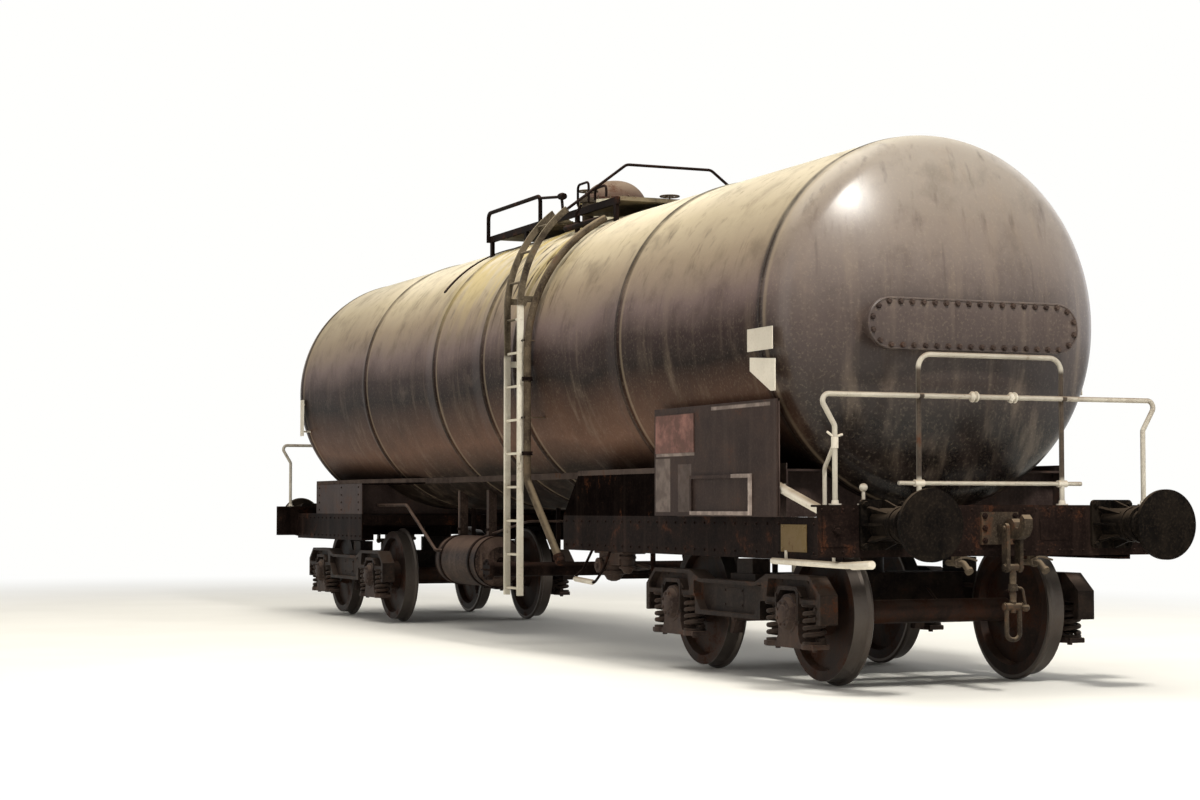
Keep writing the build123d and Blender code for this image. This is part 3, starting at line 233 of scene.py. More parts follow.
def tube(path: Points, radius: float, steps: int = 12, closed: bool = False) -> Surface:
    """A round bar along a path.

    At each point a circle stands square to the path's direction. Its two axes come from the
    cross product of that direction with one fixed helper axis, the one least like the path.

    Args:
        path: points along the bar's middle line.
        radius: the bar's radius.
        steps: points round the circle.
        closed: whether the path's end joins its start.

    Returns:
        The bar's skin, with flat ends where it is open.
    """
    path = np.asarray(path, float)
    if closed:
        along = unit(np.roll(path, -1, axis=0) - np.roll(path, 1, axis=0))
    else:
        along = unit(np.gradient(path, axis=0))
    helper = np.eye(3)[np.argmin(np.abs(along).max(axis=0))]
    side = unit(np.cross(helper, along))
    up = np.cross(along, side)
    t = np.linspace(0.0, TAU, steps, endpoint=False)[:, None]
    points = path[:, None] + radius * (np.cos(t) * side[:, None] + np.sin(t) * up[:, None])
    rim = np.arange(steps)
    fans = [] if closed else [rim[::-1], rim + (len(path) - 1) * steps]
    return Surface(points.reshape(-1, 3), grid_quads(len(path), steps, closed)[:, ::-1], fans)


def rod(corners: Pairs, bend: float, radius: float, steps: int = 8) -> Surface:
    """A round bar through corners, each corner replaced by a curve.

    Each curve is the quadratic (1-s)^2 p + 2 s (1-s) c + s^2 q from the point p a bend's
    length before the corner c to the point q as far behind it.

    Args:
        corners: the corner points, ends included.
        bend: how far from a corner its curve starts.
        radius: the bar's radius.
        steps: points round the bar.

    Returns:
        The bar's skin with flat ends.
    """
    c = np.asarray(corners, float)
    middle = c[1:-1]
    p = middle + unit(c[:-2] - middle) * bend
    q = middle + unit(c[2:] - middle) * bend
    s = np.linspace(0.0, 1.0, 6)[None, :, None]
    curve = (1 - s) ** 2 * p[:, None] + 2 * s * (1 - s) * middle[:, None] + s ** 2 * q[:, None]
    return tube(np.concatenate([c[:1], curve.reshape(-1, 3), c[-1:]]), radius, steps)


def ring_bar(centre: Point, axis: Point, radius: float, wire: float, steps: int = 40) -> Surface:
    """A closed round ring bent from a bar."""
    return tube(circle(centre, axis, radius, steps), wire, 8, closed=True)


def boxes(centres: Pairs, sizes: Pairs, chamfer: float = 0.0) -> Surface:
    """Many boxes at once, each a stack of rectangles from its bottom to its top.

    Args:
        centres: one middle point a row.
        sizes: full lengths along X, Y and Z, one row a box or one for all.
        chamfer: how much is cut from the top and bottom rims, by one more rectangle at each.

    Returns:
        All the boxes as one surface.
    """
    centres = np.atleast_2d(np.asarray(centres, float))
    sizes = np.broadcast_to(np.asarray(sizes, float), centres.shape)
    corners = np.array([(-1, -1), (1, -1), (1, 1), (-1, 1)], float)
    half = sizes[:, None] / 2
    cut = np.minimum(chamfer, half * 0.9)
    levels = ((-1, 1), (-1, 0), (1, 0), (1, 1)) if chamfer > 0 else ((-1, 0), (1, 0))
    stack = []
    for z, inset in levels:
        flat = corners * (half[..., :2] - cut[..., :2] * inset)
        height = z * (half[..., 2:] - cut[..., 2:] * (1 - inset))
        stack.append(np.concatenate([flat, np.broadcast_to(height, flat.shape[:2] + (1,))], axis=2))
    lid = np.arange(4)
    quads = np.concatenate([grid_quads(len(levels), 4), [lid[::-1], lid + 4 * (len(levels) - 1)]])
    return copies(centres[:, None] + np.concatenate(stack, axis=1), quads)


def studs(profile: Pairs, spots: Pairs, axis: Point, steps: int) -> Surface:
    """The same small turned shape at many places, all along one axis."""
    one = turned(profile, (0, 0, 0), axis, steps)
    return copies(np.atleast_2d(np.asarray(spots, float))[:, None] + one.points, one.quads, one.fans)


def bolts(spots: Pairs, axis: Point, radius: float, height: float, sides: int = 6) -> Surface:
    """Bolt heads on washers, standing on a surface: washer, head and chamfered top.

    Args:
        spots: the point on the surface under each bolt.
        axis: the direction they point in.
        radius: the head's radius to its corners.
        height: the head's height.
        sides: corners of the head.

    Returns:
        All the bolts as one surface.
    """
    stack = [(-0.2, 0), (-0.2, 1.35), (0.22, 1.35), (0.22, 1.0), (0.85, 1.0), (1.0, 0.82), (1.0, 0)]
    return studs(np.array(stack) * (height, radius), spots, axis, sides)


def rivets(spots: Pairs, axis: Point, radius: float) -> Surface:
    """Domed rivet heads: rings of radius r cos u at height 0.7 r sin u, and a short shank.

    Args:
        spots: the point on the surface under each rivet.
        axis: the direction they point in.
        radius: the head's radius r.

    Returns:
        All the rivets as one surface.
    """
    u = np.array([0.0, 0.5, 1.0, 1.35])
    dome = np.stack([0.7 * np.sin(u), np.cos(u)], axis=1) * radius
    return studs([(-0.002, 0), (-0.002, radius), *dome, (0.7 * radius, 0)], spots, axis, 10)


def plate(outline: Pairs, low: float, high: float, axis: int) -> Surface:
    """A flat plate: its outline at two depths, joined by a wall.

    Args:
        outline: corner pairs in the other two directions, going round once.
        low: where the plate starts along its thickness.
        high: where it ends.
        axis: the direction of its thickness, 0 for X, 1 for Y or 2 for Z.

    Returns:
        The plate as a closed surface.
    """
    rim = np.arange(len(outline))
    layers = [np.insert(np.asarray(outline, float), axis, depth, axis=1) for depth in (low, high)]
    return Surface(np.concatenate(layers), grid_quads(2, len(rim)), [rim, rim[::-1] + len(rim)])


def row(start: Point, stop: Point, pitch: float) -> Points:
    """Points evenly along a straight line, both ends included.

    Args:
        start: the first point.
        stop: the last point.
        pitch: about how far apart they are.

    Returns:
        The points.
    """
    start, stop = np.asarray(start, float), np.asarray(stop, float)
    count = max(2, int(round(np.linalg.norm(stop - start) / pitch)) + 1)
    return start + np.linspace(0.0, 1.0, count)[:, None] * (stop - start)


def lattice(xs: Point, ys: Point, zs: Point) -> Points:
    """Every point with its X, Y and Z in the three lists."""
    return np.array([(x, y, z) for x in xs for y in ys for z in zs])


# ---- shader helpers


class Sketch:
    """A short way to add and link the nodes of one tree. Values are sockets or constants."""

    def __init__(self, tree: bpy.types.NodeTree) -> None:
        """Starts on a tree."""
        self.tree = tree

    def feed(self, node: Node, inputs: dict) -> None:
        """Links each socket to a node's input, or sets the input to a constant.

        Args:
            node: the node.
            inputs: its inputs' values, by name or number. None leaves an input as it is.
        """
        for key, value in inputs.items():
            if isinstance(value, Socket):
                self.tree.links.new(value, node.inputs[key])
            elif value is not None:
                node.inputs[key].default_value = value

    def add(self, kind: str, inputs: Optional[dict] = None, **settings: object) -> Node:
        """Adds a node.

        Args:
            kind: the node's type name.
            inputs: values for its inputs.
            **settings: fields of the node to set.

        Returns:
            The node.
        """
        node = self.tree.nodes.new(kind)
        for key, value in settings.items():
            setattr(node, key, value)
        self.feed(node, inputs or {})
        return node

    def place(self) -> Socket:
        """The place on the wagon, in Object coordinates."""
        return self.add("ShaderNodeTexCoord").outputs["Object"]

    def parts(self, vector: Socket) -> Sequence[Socket]:
        """The three numbers of a vector."""
        return list(self.add("ShaderNodeSeparateXYZ", {0: vector}).outputs)[:3]

    def noise(self, vector: Socket, scale: float, detail: float = 3.0, rough: float = 0.55,
              twist: float = 0.0) -> Socket:
        """A noise pattern's value at a place."""
        inputs = {"Vector": vector, "Scale": scale, "Detail": detail, "Roughness": rough, "Distortion": twist}
        return self.add("ShaderNodeTexNoise", inputs).outputs["Fac"]

    def span(self, value: Socket, low: float, high: float, to_low: float = 0.0, to_high: float = 1.0,
             ease: str = "SMOOTHSTEP") -> Socket:
        """A value carried from one range to another and clamped, eased or LINEAR."""
        inputs = {"Value": value, "From Min": low, "From Max": high, "To Min": to_low, "To Max": to_high}
        return self.add("ShaderNodeMapRange", inputs, interpolation_type=ease).outputs["Result"]

    def maths(self, operation: str, first: object, second: object = None, clamp: bool = False) -> Socket:
        """An operation on one or two numbers, clamped to 0 and 1 if asked."""
        inputs = {0: first, 1: second}
        return self.add("ShaderNodeMath", inputs, operation=operation, use_clamp=clamp).outputs[0]

    def times(self, first: object, second: object) -> Socket:
        """A product, clamped to 0 and 1."""
        return self.maths("MULTIPLY", first, second, clamp=True)

    def plus(self, first: object, second: object) -> Socket:
        """A sum, clamped to 0 and 1."""
        return self.maths("ADD", first, second, clamp=True)

    def most(self, first: object, second: object) -> Socket:
        """The larger of two, clamped to 0 and 1."""
        return self.maths("MAXIMUM", first, second, clamp=True)

    def away(self, value: Socket, middle: float) -> Socket:
        """How far a value is from a middle, never negative."""
        return self.maths("ABSOLUTE", self.maths("SUBTRACT", value, middle))

    def distance(self, first: Socket, second: Socket) -> Socket:
        """The length of a vector of two numbers."""
        squares = [self.maths("MULTIPLY", one, one) for one in (first, second)]
        return self.maths("SQRT", self.maths("ADD", *squares))

    def between(self, value: Socket, low: float, high: float, edge: float) -> Socket:
        """A mask that is 1 between two values and fades to 0 over an edge's width."""
        rise = self.span(value, low - edge, low + edge)
        return self.times(rise, self.span(value, high - edge, high + edge, 1.0, 0.0))

    def blend(self, mask: Socket, first: object, second: object) -> Socket:
        """Two colours mixed by a mask."""
        return self.add("ShaderNodeMix", {0: mask, 6: first, 7: second}, data_type="RGBA").outputs[2]

    def ramp(self, value: Socket, stops: Sequence[tuple]) -> Socket:
        """A colour read from a ramp.

        Args:
            value: the place on the ramp, from 0 to 1.
            stops: (position, colour) pairs in rising order.

        Returns:
            The colour.
        """
        node = self.add("ShaderNodeValToRGB", {"Fac": value})
        band = node.color_ramp
        band.elements[0].position, band.elements[0].color = stops[0]
        band.elements[1].position, band.elements[1].color = stops[-1]
        for position, colour in stops[1:-1]:
            band.elements.new(position).color = colour
        return node.outputs["Color"]

    def stretched(self, vector: Socket, scale: Point, turn: Point = (0, 0, 0)) -> Socket:
        """A place scaled by a different number along each axis."""
        inputs = {"Vector": vector, "Scale": scale, "Rotation": turn}
        return self.add("ShaderNodeMapping", inputs).outputs["Vector"]


def rgb(red: int, green: int, blue: int) -> tuple:
    """A colour as it is seen on a screen, as the shader's linear values.

    Each share v from 0 to 1 becomes v / 12.92 up to 0.04045, and ((v + 0.055) / 1.055)^2.4
    above it.

    Args:
        red: the red share, from 0 to 255.
        green: the green share, from 0 to 255.
        blue: the blue share, from 0 to 255.

    Returns:
        Linear red, green and blue from 0 to 1, and an alpha of 1.
    """
    values = np.array([red, green, blue], float) / 255.0
    linear = np.where(values <= 0.04045, values / 12.92, ((values + 0.055) / 1.055) ** 2.4)
    return (*linear.tolist(), 1.0)


def group_tree(name: str, inputs: dict, outputs: dict) -> tuple:
    """An empty shader node group with named sockets.

    Args:
        name: the group's name.
        inputs: each input's default: a number, a colour, or None for a vector.
        outputs: each output's type.

    Returns:
        A sketch of the tree, its input sockets by name and its output node.
    """
    tree = bpy.data.node_groups.new(name, "ShaderNodeTree")
    for label, default in inputs.items():
        kind = {type(None): "Vector", tuple: "Color", float: "Float"}[type(default)]
        socket = tree.interface.new_socket(name=label, in_out="INPUT", socket_type=f"NodeSocket{kind}")
        if default is not None:
            socket.default_value = default
    for label, kind in outputs.items():
        tree.interface.new_socket(name=label, in_out="OUTPUT", socket_type=f"NodeSocket{kind}")
    sketch = Sketch(tree)
    given = {socket.name: socket for socket in sketch.add("NodeGroupInput").outputs if socket.name}
    return sketch, given, sketch.add("NodeGroupOutput")


@cache
def weather_group() -> bpy.types.NodeTree:
    """Paint under dust and rust, as a shader node group built once.

    Colour: the base, its lightness moved by slow noise, then dust laid on by noise and by how
    far a face looks up, then rust in blotches. Roughness and height follow the same masks.

    Returns:
        The group.
    """
    s, given, out = group_tree(
        "weather",
        {"Vector": None, "Base": rgb(89, 89, 89), "Dust": rgb(170, 160, 149), "Rust": rgb(124, 79, 48),
         "Dust Amount": 0.3, "Rust Amount": 0.2, "Up": 0.0},
        {"Color": "Color", "Roughness": "Float", "Height": "Float"})
    place = given["Vector"]
    slow = s.noise(place, 0.9, 4.0)
    patch = s.noise(place, 4.5, 6.0, 0.6, 0.4)
    grain = s.noise(place, 55.0, 3.0, 0.7)
    fine = s.noise(place, 210.0, 2.0, 0.6)
    tone = s.blend(s.span(slow, 0.3, 0.7, 0.0, 0.35), given["Base"], rgb(0, 0, 0))
    speckled = s.blend(s.span(grain, 0.45, 0.75, 0.0, 0.22), tone, given["Dust"])
    settled = s.times(s.span(patch, 0.28, 0.72), given["Dust Amount"])
    dust_mask = s.most(settled, s.times(s.span(given["Up"], 0.15, 0.9), s.span(patch, 0.1, 0.6, 0.45, 0.9)))
    dusty = s.blend(dust_mask, speckled, given["Dust"])
    rust_field = s.plus(s.times(patch, 0.7), s.times(grain, 0.3))
    rust_edge = s.maths("SUBTRACT", 1.0, s.times(given["Rust Amount"], 0.62))
    rust_mask = s.span(s.maths("SUBTRACT", rust_field, rust_edge), -0.30, -0.12)
    rust = s.blend(s.span(fine, 0.3, 0.7, 0.0, 0.6), given["Rust"], (0.02, 0.01, 0.008, 1.0))
    rough = s.plus(0.42, s.times(dust_mask, 0.38))
    bumps = s.plus(s.times(grain, 0.5), s.times(rust_mask, 0.35))
    s.feed(out, {
        "Color": s.blend(rust_mask, dusty, rust),
        "Roughness": s.most(rough, s.times(rust_mask, 0.85)),
        "Height": s.plus(bumps, s.times(fine, 0.15)),
    })
    return s.tree


@cache
def streak_group() -> bpy.types.NodeTree:
    """Runs of dirt down a side, as a shader node group built once; on the air reservoir the runs are painted
    glints.

    Noise is stretched along Z, sharpened by a threshold and thinned by broader noise.

    Returns:
        The group.
    """
    s, given, out = group_tree(
        "streaks", {"Vector": None, "Width": 8.0, "Length": 0.5, "Amount": 0.5}, {"Mask": "Float"})
    scale = s.add("ShaderNodeCombineXYZ", {0: given["Width"], 1: given["Width"], 2: given["Length"]})
    stretch = s.add("ShaderNodeVectorMath", {0: given["Vector"], 1: scale.outputs[0]}, operation="MULTIPLY")
    runs = s.noise(stretch.outputs[0], 1.0, 4.0, 0.6)
    broad = s.noise(given["Vector"], 0.8, 2.0)
    mask = s.times(s.span(runs, 0.48, 0.72), s.span(broad, 0.3, 0.65))
    s.feed(out, {"Mask": s.times(mask, given["Amount"])})
    return s.tree


def new_material(name: str) -> tuple:
    """A material with an empty tree, a Principled shader and an output.

    Args:
        name: the material's name.

    Returns:
        The material, a sketch of its tree, the shader node and the output node.
    """
    material = bpy.data.materials.new(name)
    material.use_nodes = True
    material.node_tree.nodes.clear()
    s = Sketch(material.node_tree)
    shader = s.add("ShaderNodeBsdfPrincipled")
    return material, s, shader, s.add("ShaderNodeOutputMaterial", {"Surface": shader.outputs["BSDF"]})


def bump_by(s: Sketch, height: Socket, depth: float) -> Socket:
    """The normal that a Bump node of a given depth makes of a height."""
    return s.add("ShaderNodeBump", {"Strength": 0.55, "Distance": depth, "Height": height}).outputs["Normal"]


# ---- finishes


class Region(Enum):
    """The part of a piece that a finish paints in its second colour."""

    NONE = "none"
    LOW_LADDER = "low_ladder"
    TREAD = "tread"
    HOOP_LEGS = "hoop_legs"
    PLACARD = "placard"


@dataclass(frozen=True)
class WeatheredFinish:
    """Paint or bare metal under dust and rust, from the shared weather group.

    Attributes:
        name: the material's name.
        slot: the record's material slot that it belongs to.
        base: the paint's colour.
        dust: the dust's colour.
        rust: the rust's colour.
        dust_amount: how much dust lies on all sides.
        rust_amount: how much of the surface is rusty.
        streak: how strong the runs of dust down its sides are; on the air reservoir, painted glints.
        region: the part that takes the second colour.
        second: the second colour.
        gloss: the shader's specular level, low under dust.
    """

    name: str
    slot: str
    base: tuple
    dust: tuple = rgb(132, 116, 96)
    rust: tuple = rgb(88, 52, 33)
    dust_amount: float = 0.3
    rust_amount: float = 0.25
    streak: float = 0.3
    region: Region = Region.NONE
    second: tuple = rgb(200, 200, 200)
    gloss: float = 0.03

    @cached_property
    def material(self) -> Material:
        """The material, built when it is first asked for.

        The second colour is mixed into the base by its mask before the shared weather group
        adds dust and rust. Streaks go over the group's colour, and on the side panel pale marks
        over those. The wheels' treads are also brighter, smoother and more metallic.

        Returns:
            The material.
        """
        material, s, shader, _ = new_material(self.name)
        place = s.place()
        up = s.parts(s.add("ShaderNodeNewGeometry").outputs["Normal"])[2]
        mask = None if self.region is Region.NONE else self._mask(s, place)
        runs = s.add("ShaderNodeGroup", node_tree=streak_group())
        s.feed(runs, {"Vector": place, "Amount": self.streak})
        worn = s.add("ShaderNodeGroup", node_tree=weather_group())
        s.feed(worn, {"Vector": place, "Up": up, "Dust": self.dust, "Rust": self.rust,
                      "Dust Amount": self.dust_amount, "Rust Amount": self.rust_amount,
                      "Base": s.blend(mask, self.base, self.second) if mask else self.base})
        colour = s.blend(runs.outputs["Mask"], worn.outputs["Color"], self.dust)
        rough = worn.outputs["Roughness"]
        if self.region is Region.PLACARD:
            colour = s.blend(self._pale_marks(s, place), colour, rgb(196, 180, 170))
        if self.region is Region.TREAD:
            colour = s.blend(s.times(mask, 0.8), colour, self.second)
            rough = s.blend(mask, rough, (0.38, 0.38, 0.38, 1.0))
            s.feed(shader, {"Metallic": s.times(mask, 0.6)})
        s.feed(shader, {"Base Color": colour, "Roughness": rough, "Specular IOR Level": self.gloss,
                        "Normal": bump_by(s, worn.outputs["Height"], 0.0012)})
        return material

    def _mask(self, s: Sketch, place: Socket) -> Socket:
        """The second colour's mask, worked out from the place on the wagon.

        The low part of the ladders ends at 2.42 m on one stile and 2.82 m on the other. The
        tread is where the distance to the nearest axle's line is over 454 mm. The placard is
        a rectangle on the side panel, mottled by noise.

        Args:
            s: the material's sketch.
            place: the place in the wagon's frame.

        Returns:
            A mask from 0 to 1.
        """
        x, y, z = s.parts(place)
        end_x = s.maths("ABSOLUTE", x)
        if self.region is Region.LOW_LADDER:
            ragged = s.maths("MULTIPLY", s.noise(place, 9.0, 4.0), 0.09)
            limit = s.maths("ADD", s.span(x, 1.12, 1.38, 2.42, 2.82, "LINEAR"), ragged)
            return s.span(s.maths("SUBTRACT", z, limit), -0.015, 0.015, 1.0, 0.0)
        if self.region is Region.TREAD:
            aside = s.maths("SUBTRACT", s.away(end_x, PIVOT_X), HALF_BASE)
            return s.span(s.distance(aside, s.maths("SUBTRACT", z, AXLE_Z)), 0.452, 0.4555)
        if self.region is Region.HOOP_LEGS:
            legs = s.between(s.maths("ABSOLUTE", y), 0.530, 0.566, 0.003)
            return s.times(legs, s.between(z, 1.38, 2.09, 0.02))
        placard = s.times(s.between(end_x, 3.81, 4.45, 0.004), s.between(z, 1.583, 1.858, 0.004))
        return s.times(placard, s.span(s.noise(place, 7.0, 5.0, 0.65), 0.35, 0.62, 1.0, 0.4))

    @staticmethod
    def _pale_marks(s: Sketch, place: Socket) -> Socket:
        """The side panel's pale marks, as a mask.

        They are rectangles of (from X, to X, from Z, to Z, strength): the worn edges of the label
        frame, a painted highlight along the panel's top edge, one more top edge and grey strips, all
        chipped by noise.

        Args:
            s: the material's sketch.
            place: the place in the wagon's frame.

        Returns:
            A mask from 0 to 1.
        """
        x, _, z = s.parts(place)
        end_x = s.maths("ABSOLUTE", x)
        marks = (
            (5.300, 5.334, 1.138, 1.420, 0.85), (4.400, 5.334, 1.138, 1.166, 0.55),
            # The second rectangle on this line is a painted highlight along the panel's top edge.
            (5.050, 5.334, 1.392, 1.420, 0.60), (4.720, 5.600, 1.866, 1.890, 0.42),
            (3.800, 4.050, 1.160, 1.545, 0.24), (4.180, 4.400, 1.160, 1.500, 0.10),
            (3.810, 4.450, 1.560, 1.582, 0.50),
        )
        total: object = 0.0
        for left, right, bottom, top, strength in marks:
            patch = s.times(s.between(end_x, left, right, 0.004), s.between(z, bottom, top, 0.004))
            total = s.most(total, s.times(patch, strength))
        return s.times(total, s.span(s.noise(place, 11.0, 4.0, 0.55), 0.34, 0.62, 1.0, 0.5))


@dataclass(frozen=True)
class TankFinish:
    """The tank's old dark paint with painted light: dusty and pale with painted sunlight on top, purple-grey
    at mid height, brown below and darkest in the belly's painted shade.

    Attributes:
        name: the material's name.
        slot: the record's material slot that it belongs to.
        head_start: distance from the middle where the heads begin.
        seams: X of the welds and bands, darker beside them and with a painted highlight line just off each.
        barrel: (share of the height, colour) of the barrel's ramp, from the belly to the top: the paint's
            tones with painted shade low down and painted sunlight on top.
        heads: the same for the heads.
    """

    name: str = "tank_old_paint"
    slot: str = "tank_paint"
    head_start: float = 5.45
    seams: tuple = (-5.526, -3.185, -1.04, 0.23, 1.04, 3.185, 5.526)
    barrel: tuple = (
        (0.0, rgb(14, 9, 8)), (0.10, rgb(20, 14, 11)), (0.13, rgb(34, 24, 19)), (0.22, rgb(100, 73, 59)),
        (0.32, rgb(74, 54, 44)), (0.41, rgb(29, 21, 17)), (0.49, rgb(52, 40, 38)), (0.58, rgb(112, 96, 92)),
        (0.70, rgb(146, 130, 110)), (0.82, rgb(190, 176, 148)), (0.92, rgb(222, 210, 184)),
        (1.0, rgb(214, 208, 186)),
    )
    heads: tuple = (
        (0.0, rgb(14, 10, 9)), (0.22, rgb(21, 15, 13)), (0.5, rgb(76, 65, 61)), (0.75, rgb(124, 112, 105)),
        (1.0, rgb(164, 156, 146)),
    )

    @cached_property
    def material(self) -> Material:
        """The material, built when it is first asked for.

        The colour is a ramp over height, the height first shifted by slow noise so that the bands
        wander; the ramp paints sunlight on the top and shade under the belly. Blotches, streaks,
        darkening beside the seams, a painted highlight line beside each, spills below the deck and
        fine grain go over it, each as a colour mixed in by a mask. The heads are a cleaner, darker
        grey, with the same painted light and shade.

        Returns:
            The material.
        """
        material, s, shader, _ = new_material(self.name)
        place = s.place()
        x, y, z = s.parts(place)
        wander = s.noise(place, 0.75, 4.0, 0.55)
        patch = s.noise(place, 3.2, 5.0, 0.6, 0.3)
        grain = s.noise(place, 48.0, 3.0, 0.65)
        shifted = s.maths("ADD", z, s.span(wander, 0.0, 1.0, -0.16, 0.16, "LINEAR"))
        level = s.span(shifted, TANK_AXIS_Z - TANK_RADIUS, TANK_AXIS_Z + TANK_RADIUS, ease="LINEAR")
        end_x = s.maths("ABSOLUTE", x)
        on_head = s.span(end_x, self.head_start, self.head_start + 0.35)
        end_bays = s.times(s.span(end_x, 3.0, 4.4, 0.0, 0.3), s.span(level, 0.60, 0.80))
        runs = s.add("ShaderNodeGroup", node_tree=streak_group())
        s.feed(runs, {"Vector": place, "Width": 7.0, "Length": 0.35, "Amount": 0.3})
        dark_runs = s.noise(s.stretched(place, (11.0, 11.0, 0.5)), 1.0, 3.0, 0.6)
        # Darker beside the seams, and a painted highlight line 7 cm off each seam, beside the band.
        seam_dark = s.times(self._near_seams(s, x, 0.010, 0.075), s.span(patch, 0.2, 0.6, 0.45, 0.9))
        seam_highlight = s.times(self._near_seams(s, s.maths("SUBTRACT", x, 0.07), 0.006, 0.03), 0.4)
        # The height ramps paint sunlight on the tank's top and shade under its belly.
        colour = s.blend(on_head, s.ramp(level, self.barrel), s.ramp(level, self.heads))
        for mask, tint in (
            (s.span(patch, 0.45, 0.75, 0.0, 0.4), rgb(58, 47, 43)),
            (s.span(patch, 0.44, 0.22, 0.0, 0.25), rgb(140, 122, 108)),
            (end_bays, rgb(124, 112, 96)),
            (runs.outputs["Mask"], rgb(136, 120, 104)),
            (s.span(dark_runs, 0.55, 0.8, 0.0, 0.4), rgb(50, 38, 34)),
            (seam_dark, rgb(34, 26, 23)),
            (seam_highlight, rgb(150, 134, 112)),
            (self._spills(s, place, x, z), rgb(196, 176, 120)),
            (self._crust(s, place, x, z), rgb(58, 44, 34)),
            (self._mouth(s, x, y, z), rgb(18, 13, 11)),
            (s.span(grain, 0.5, 0.78, 0.0, 0.14), rgb(176, 160, 136)),
        ):
            colour = s.blend(mask, colour, tint)
        mottle = s.times(patch, 0.14)
        rough = s.blend(on_head, s.plus(s.span(level, 0.55, 0.95, 0.34, 0.58), mottle), s.plus(0.24, mottle))
        height = s.plus(s.times(grain, 0.3), s.times(wander, 0.5))
        s.feed(shader, {"Base Color": colour, "Roughness": rough, "Specular IOR Level": 0.02,
                        "Coat Weight": s.times(on_head, 0.55), "Coat Roughness": 0.26,
                        "Normal": bump_by(s, height, 0.004)})
        return material

    def _near_seams(self, s: Sketch, x: Socket, full: float, gone: float) -> Socket:
        """A mask round the seams.

        Args:
            s: the material's sketch.
            x: X of the place.
            full: the distance from a seam up to which it is 1.
            gone: the distance at which it has faded to 0.

        Returns:
            The mask.
        """
        total: object = 0.0
        for seam in self.seams:
            total = s.most(s.span(s.away(x, seam), full, gone, 1.0, 0.0), total)
        return total

    @staticmethod
    def _spills(s: Sketch, place: Socket, x: Socket, z: Socket) -> Socket:
        """Pale spills that run down below the deck, thinning with depth: noise drawn out along Z.

        Args:
            s: the material's sketch.
            place: the place in the wagon's frame.
            x: its X.
            z: its Z.

        Returns:
            A mask from 0 to 1.
        """
        runs = s.span(s.noise(s.stretched(place, (6.5, 3.0, 0.5)), 1.0, 3.0, 0.5), 0.43, 0.62)
        fade = s.span(z, TANK_AXIS_Z + 0.15, TANK_AXIS_Z + TANK_RADIUS, 0.0, 0.9)
        return s.times(s.times(runs, fade), s.between(x, -1.2, 1.55, 0.35))

    @staticmethod
    def _crust(s: Sketch, place: Socket, x: Socket, z: Socket) -> Socket:
        """Dark tarry runs between the pale ones, close to the ladders: finer noise, drawn out aslant.

        Args:
            s: the material's sketch.
            place: the place in the wagon's frame.
            x: its X.
            z: its Z.

        Returns:
            A mask from 0 to 1.
        """
        stretched = s.stretched(place, (13.0, 4.0, 0.7), (0.0, 0.12, 0.0))
        runs = s.span(s.noise(stretched, 1.0, 4.0, 0.6), 0.55, 0.68)
        fade = s.between(z, TANK_AXIS_Z + 0.25, TANK_AXIS_Z + TANK_RADIUS + 0.3, 0.25)
        return s.times(s.times(runs, fade), s.between(x, 0.35, 1.75, 0.3))

    @staticmethod
    def _mouth(s: Sketch, x: Socket, y: Socket, z: Socket) -> Socket:
        """The manhole's dark mouth and gasket: bands of distance from its middle, on the neck's top.

        Args:
            s: the material's sketch.
            x: X of the place.
            y: its Y.
            z: its Z.

        Returns:
            A mask from 0 to 1.
        """
        distance = s.distance(s.maths("SUBTRACT", x, MANHOLE_X), y)
        bands = s.most(s.span(distance, 0.246, 0.250, 1.0, 0.0), s.between(distance, 0.268, 0.292, 0.003))
        return s.times(bands, s.span(z, 3.925, 3.940))


Finish = WeatheredFinish | TankFinish

TANK = TankFinish()
# The frame's dark paint, darkened further as painted shade under the tank.
FRAME = WeatheredFinish(
    "frame_paint", "frame_paint", rgb(17, 12, 11), dust=rgb(66, 52, 46), dust_amount=0.2, gloss=0.01)
# The bogies' paint, darkened as painted shade under the wagon, with dust on it.
BOGIE = WeatheredFinish("bogie_grime", "bogie_paint", rgb(30, 25, 24), dust=rgb(80, 68, 60), dust_amount=0.36)
IRON = WeatheredFinish(
    "axlebox_iron", "axlebox_iron", rgb(48, 40, 39), dust=rgb(104, 88, 78), dust_amount=0.36)
SPRING = WeatheredFinish(
    "spring_steel", "spring_steel", rgb(38, 32, 30), dust=rgb(88, 76, 68), rust=rgb(62, 42, 32),
    dust_amount=0.35, rust_amount=0.3)
WHEEL = WeatheredFinish(
    "wheel_steel", "wheel_steel", rgb(40, 31, 28), dust=rgb(72, 58, 50), rust=rgb(66, 42, 31),
    dust_amount=0.35, rust_amount=0.4, region=Region.TREAD, second=rgb(84, 78, 73), gloss=0.05)
WHITE = WeatheredFinish(
    "worn_white", "ladder_paint", rgb(228, 221, 206), dust=rgb(160, 142, 120), dust_amount=0.18,
    rust_amount=0.16)
LADDER = WeatheredFinish(
    "two_tone_ladder", "ladder_paint", rgb(44, 37, 33), dust=rgb(156, 142, 118), dust_amount=0.36,
    rust_amount=0.2, region=Region.LOW_LADDER, second=rgb(232, 226, 210))
END_RAIL = WeatheredFinish(
    "end_rail_white", "ladder_paint", rgb(200, 194, 180), dust=rgb(128, 112, 96), rust_amount=0.22,
    region=Region.HOOP_LEGS, second=rgb(52, 47, 44))
DECK = WeatheredFinish("deck_steel", "deck_steel", rgb(70, 62, 52), dust=rgb(168, 154, 126), dust_amount=0.5)
VALVE = WeatheredFinish("valve_iron", "valve_steel", rgb(60, 54, 48), dust_amount=0.4)
LID = WeatheredFinish("lid_maroon", "lid_paint", rgb(72, 46, 40), dust=rgb(132, 116, 100), dust_amount=0.18)
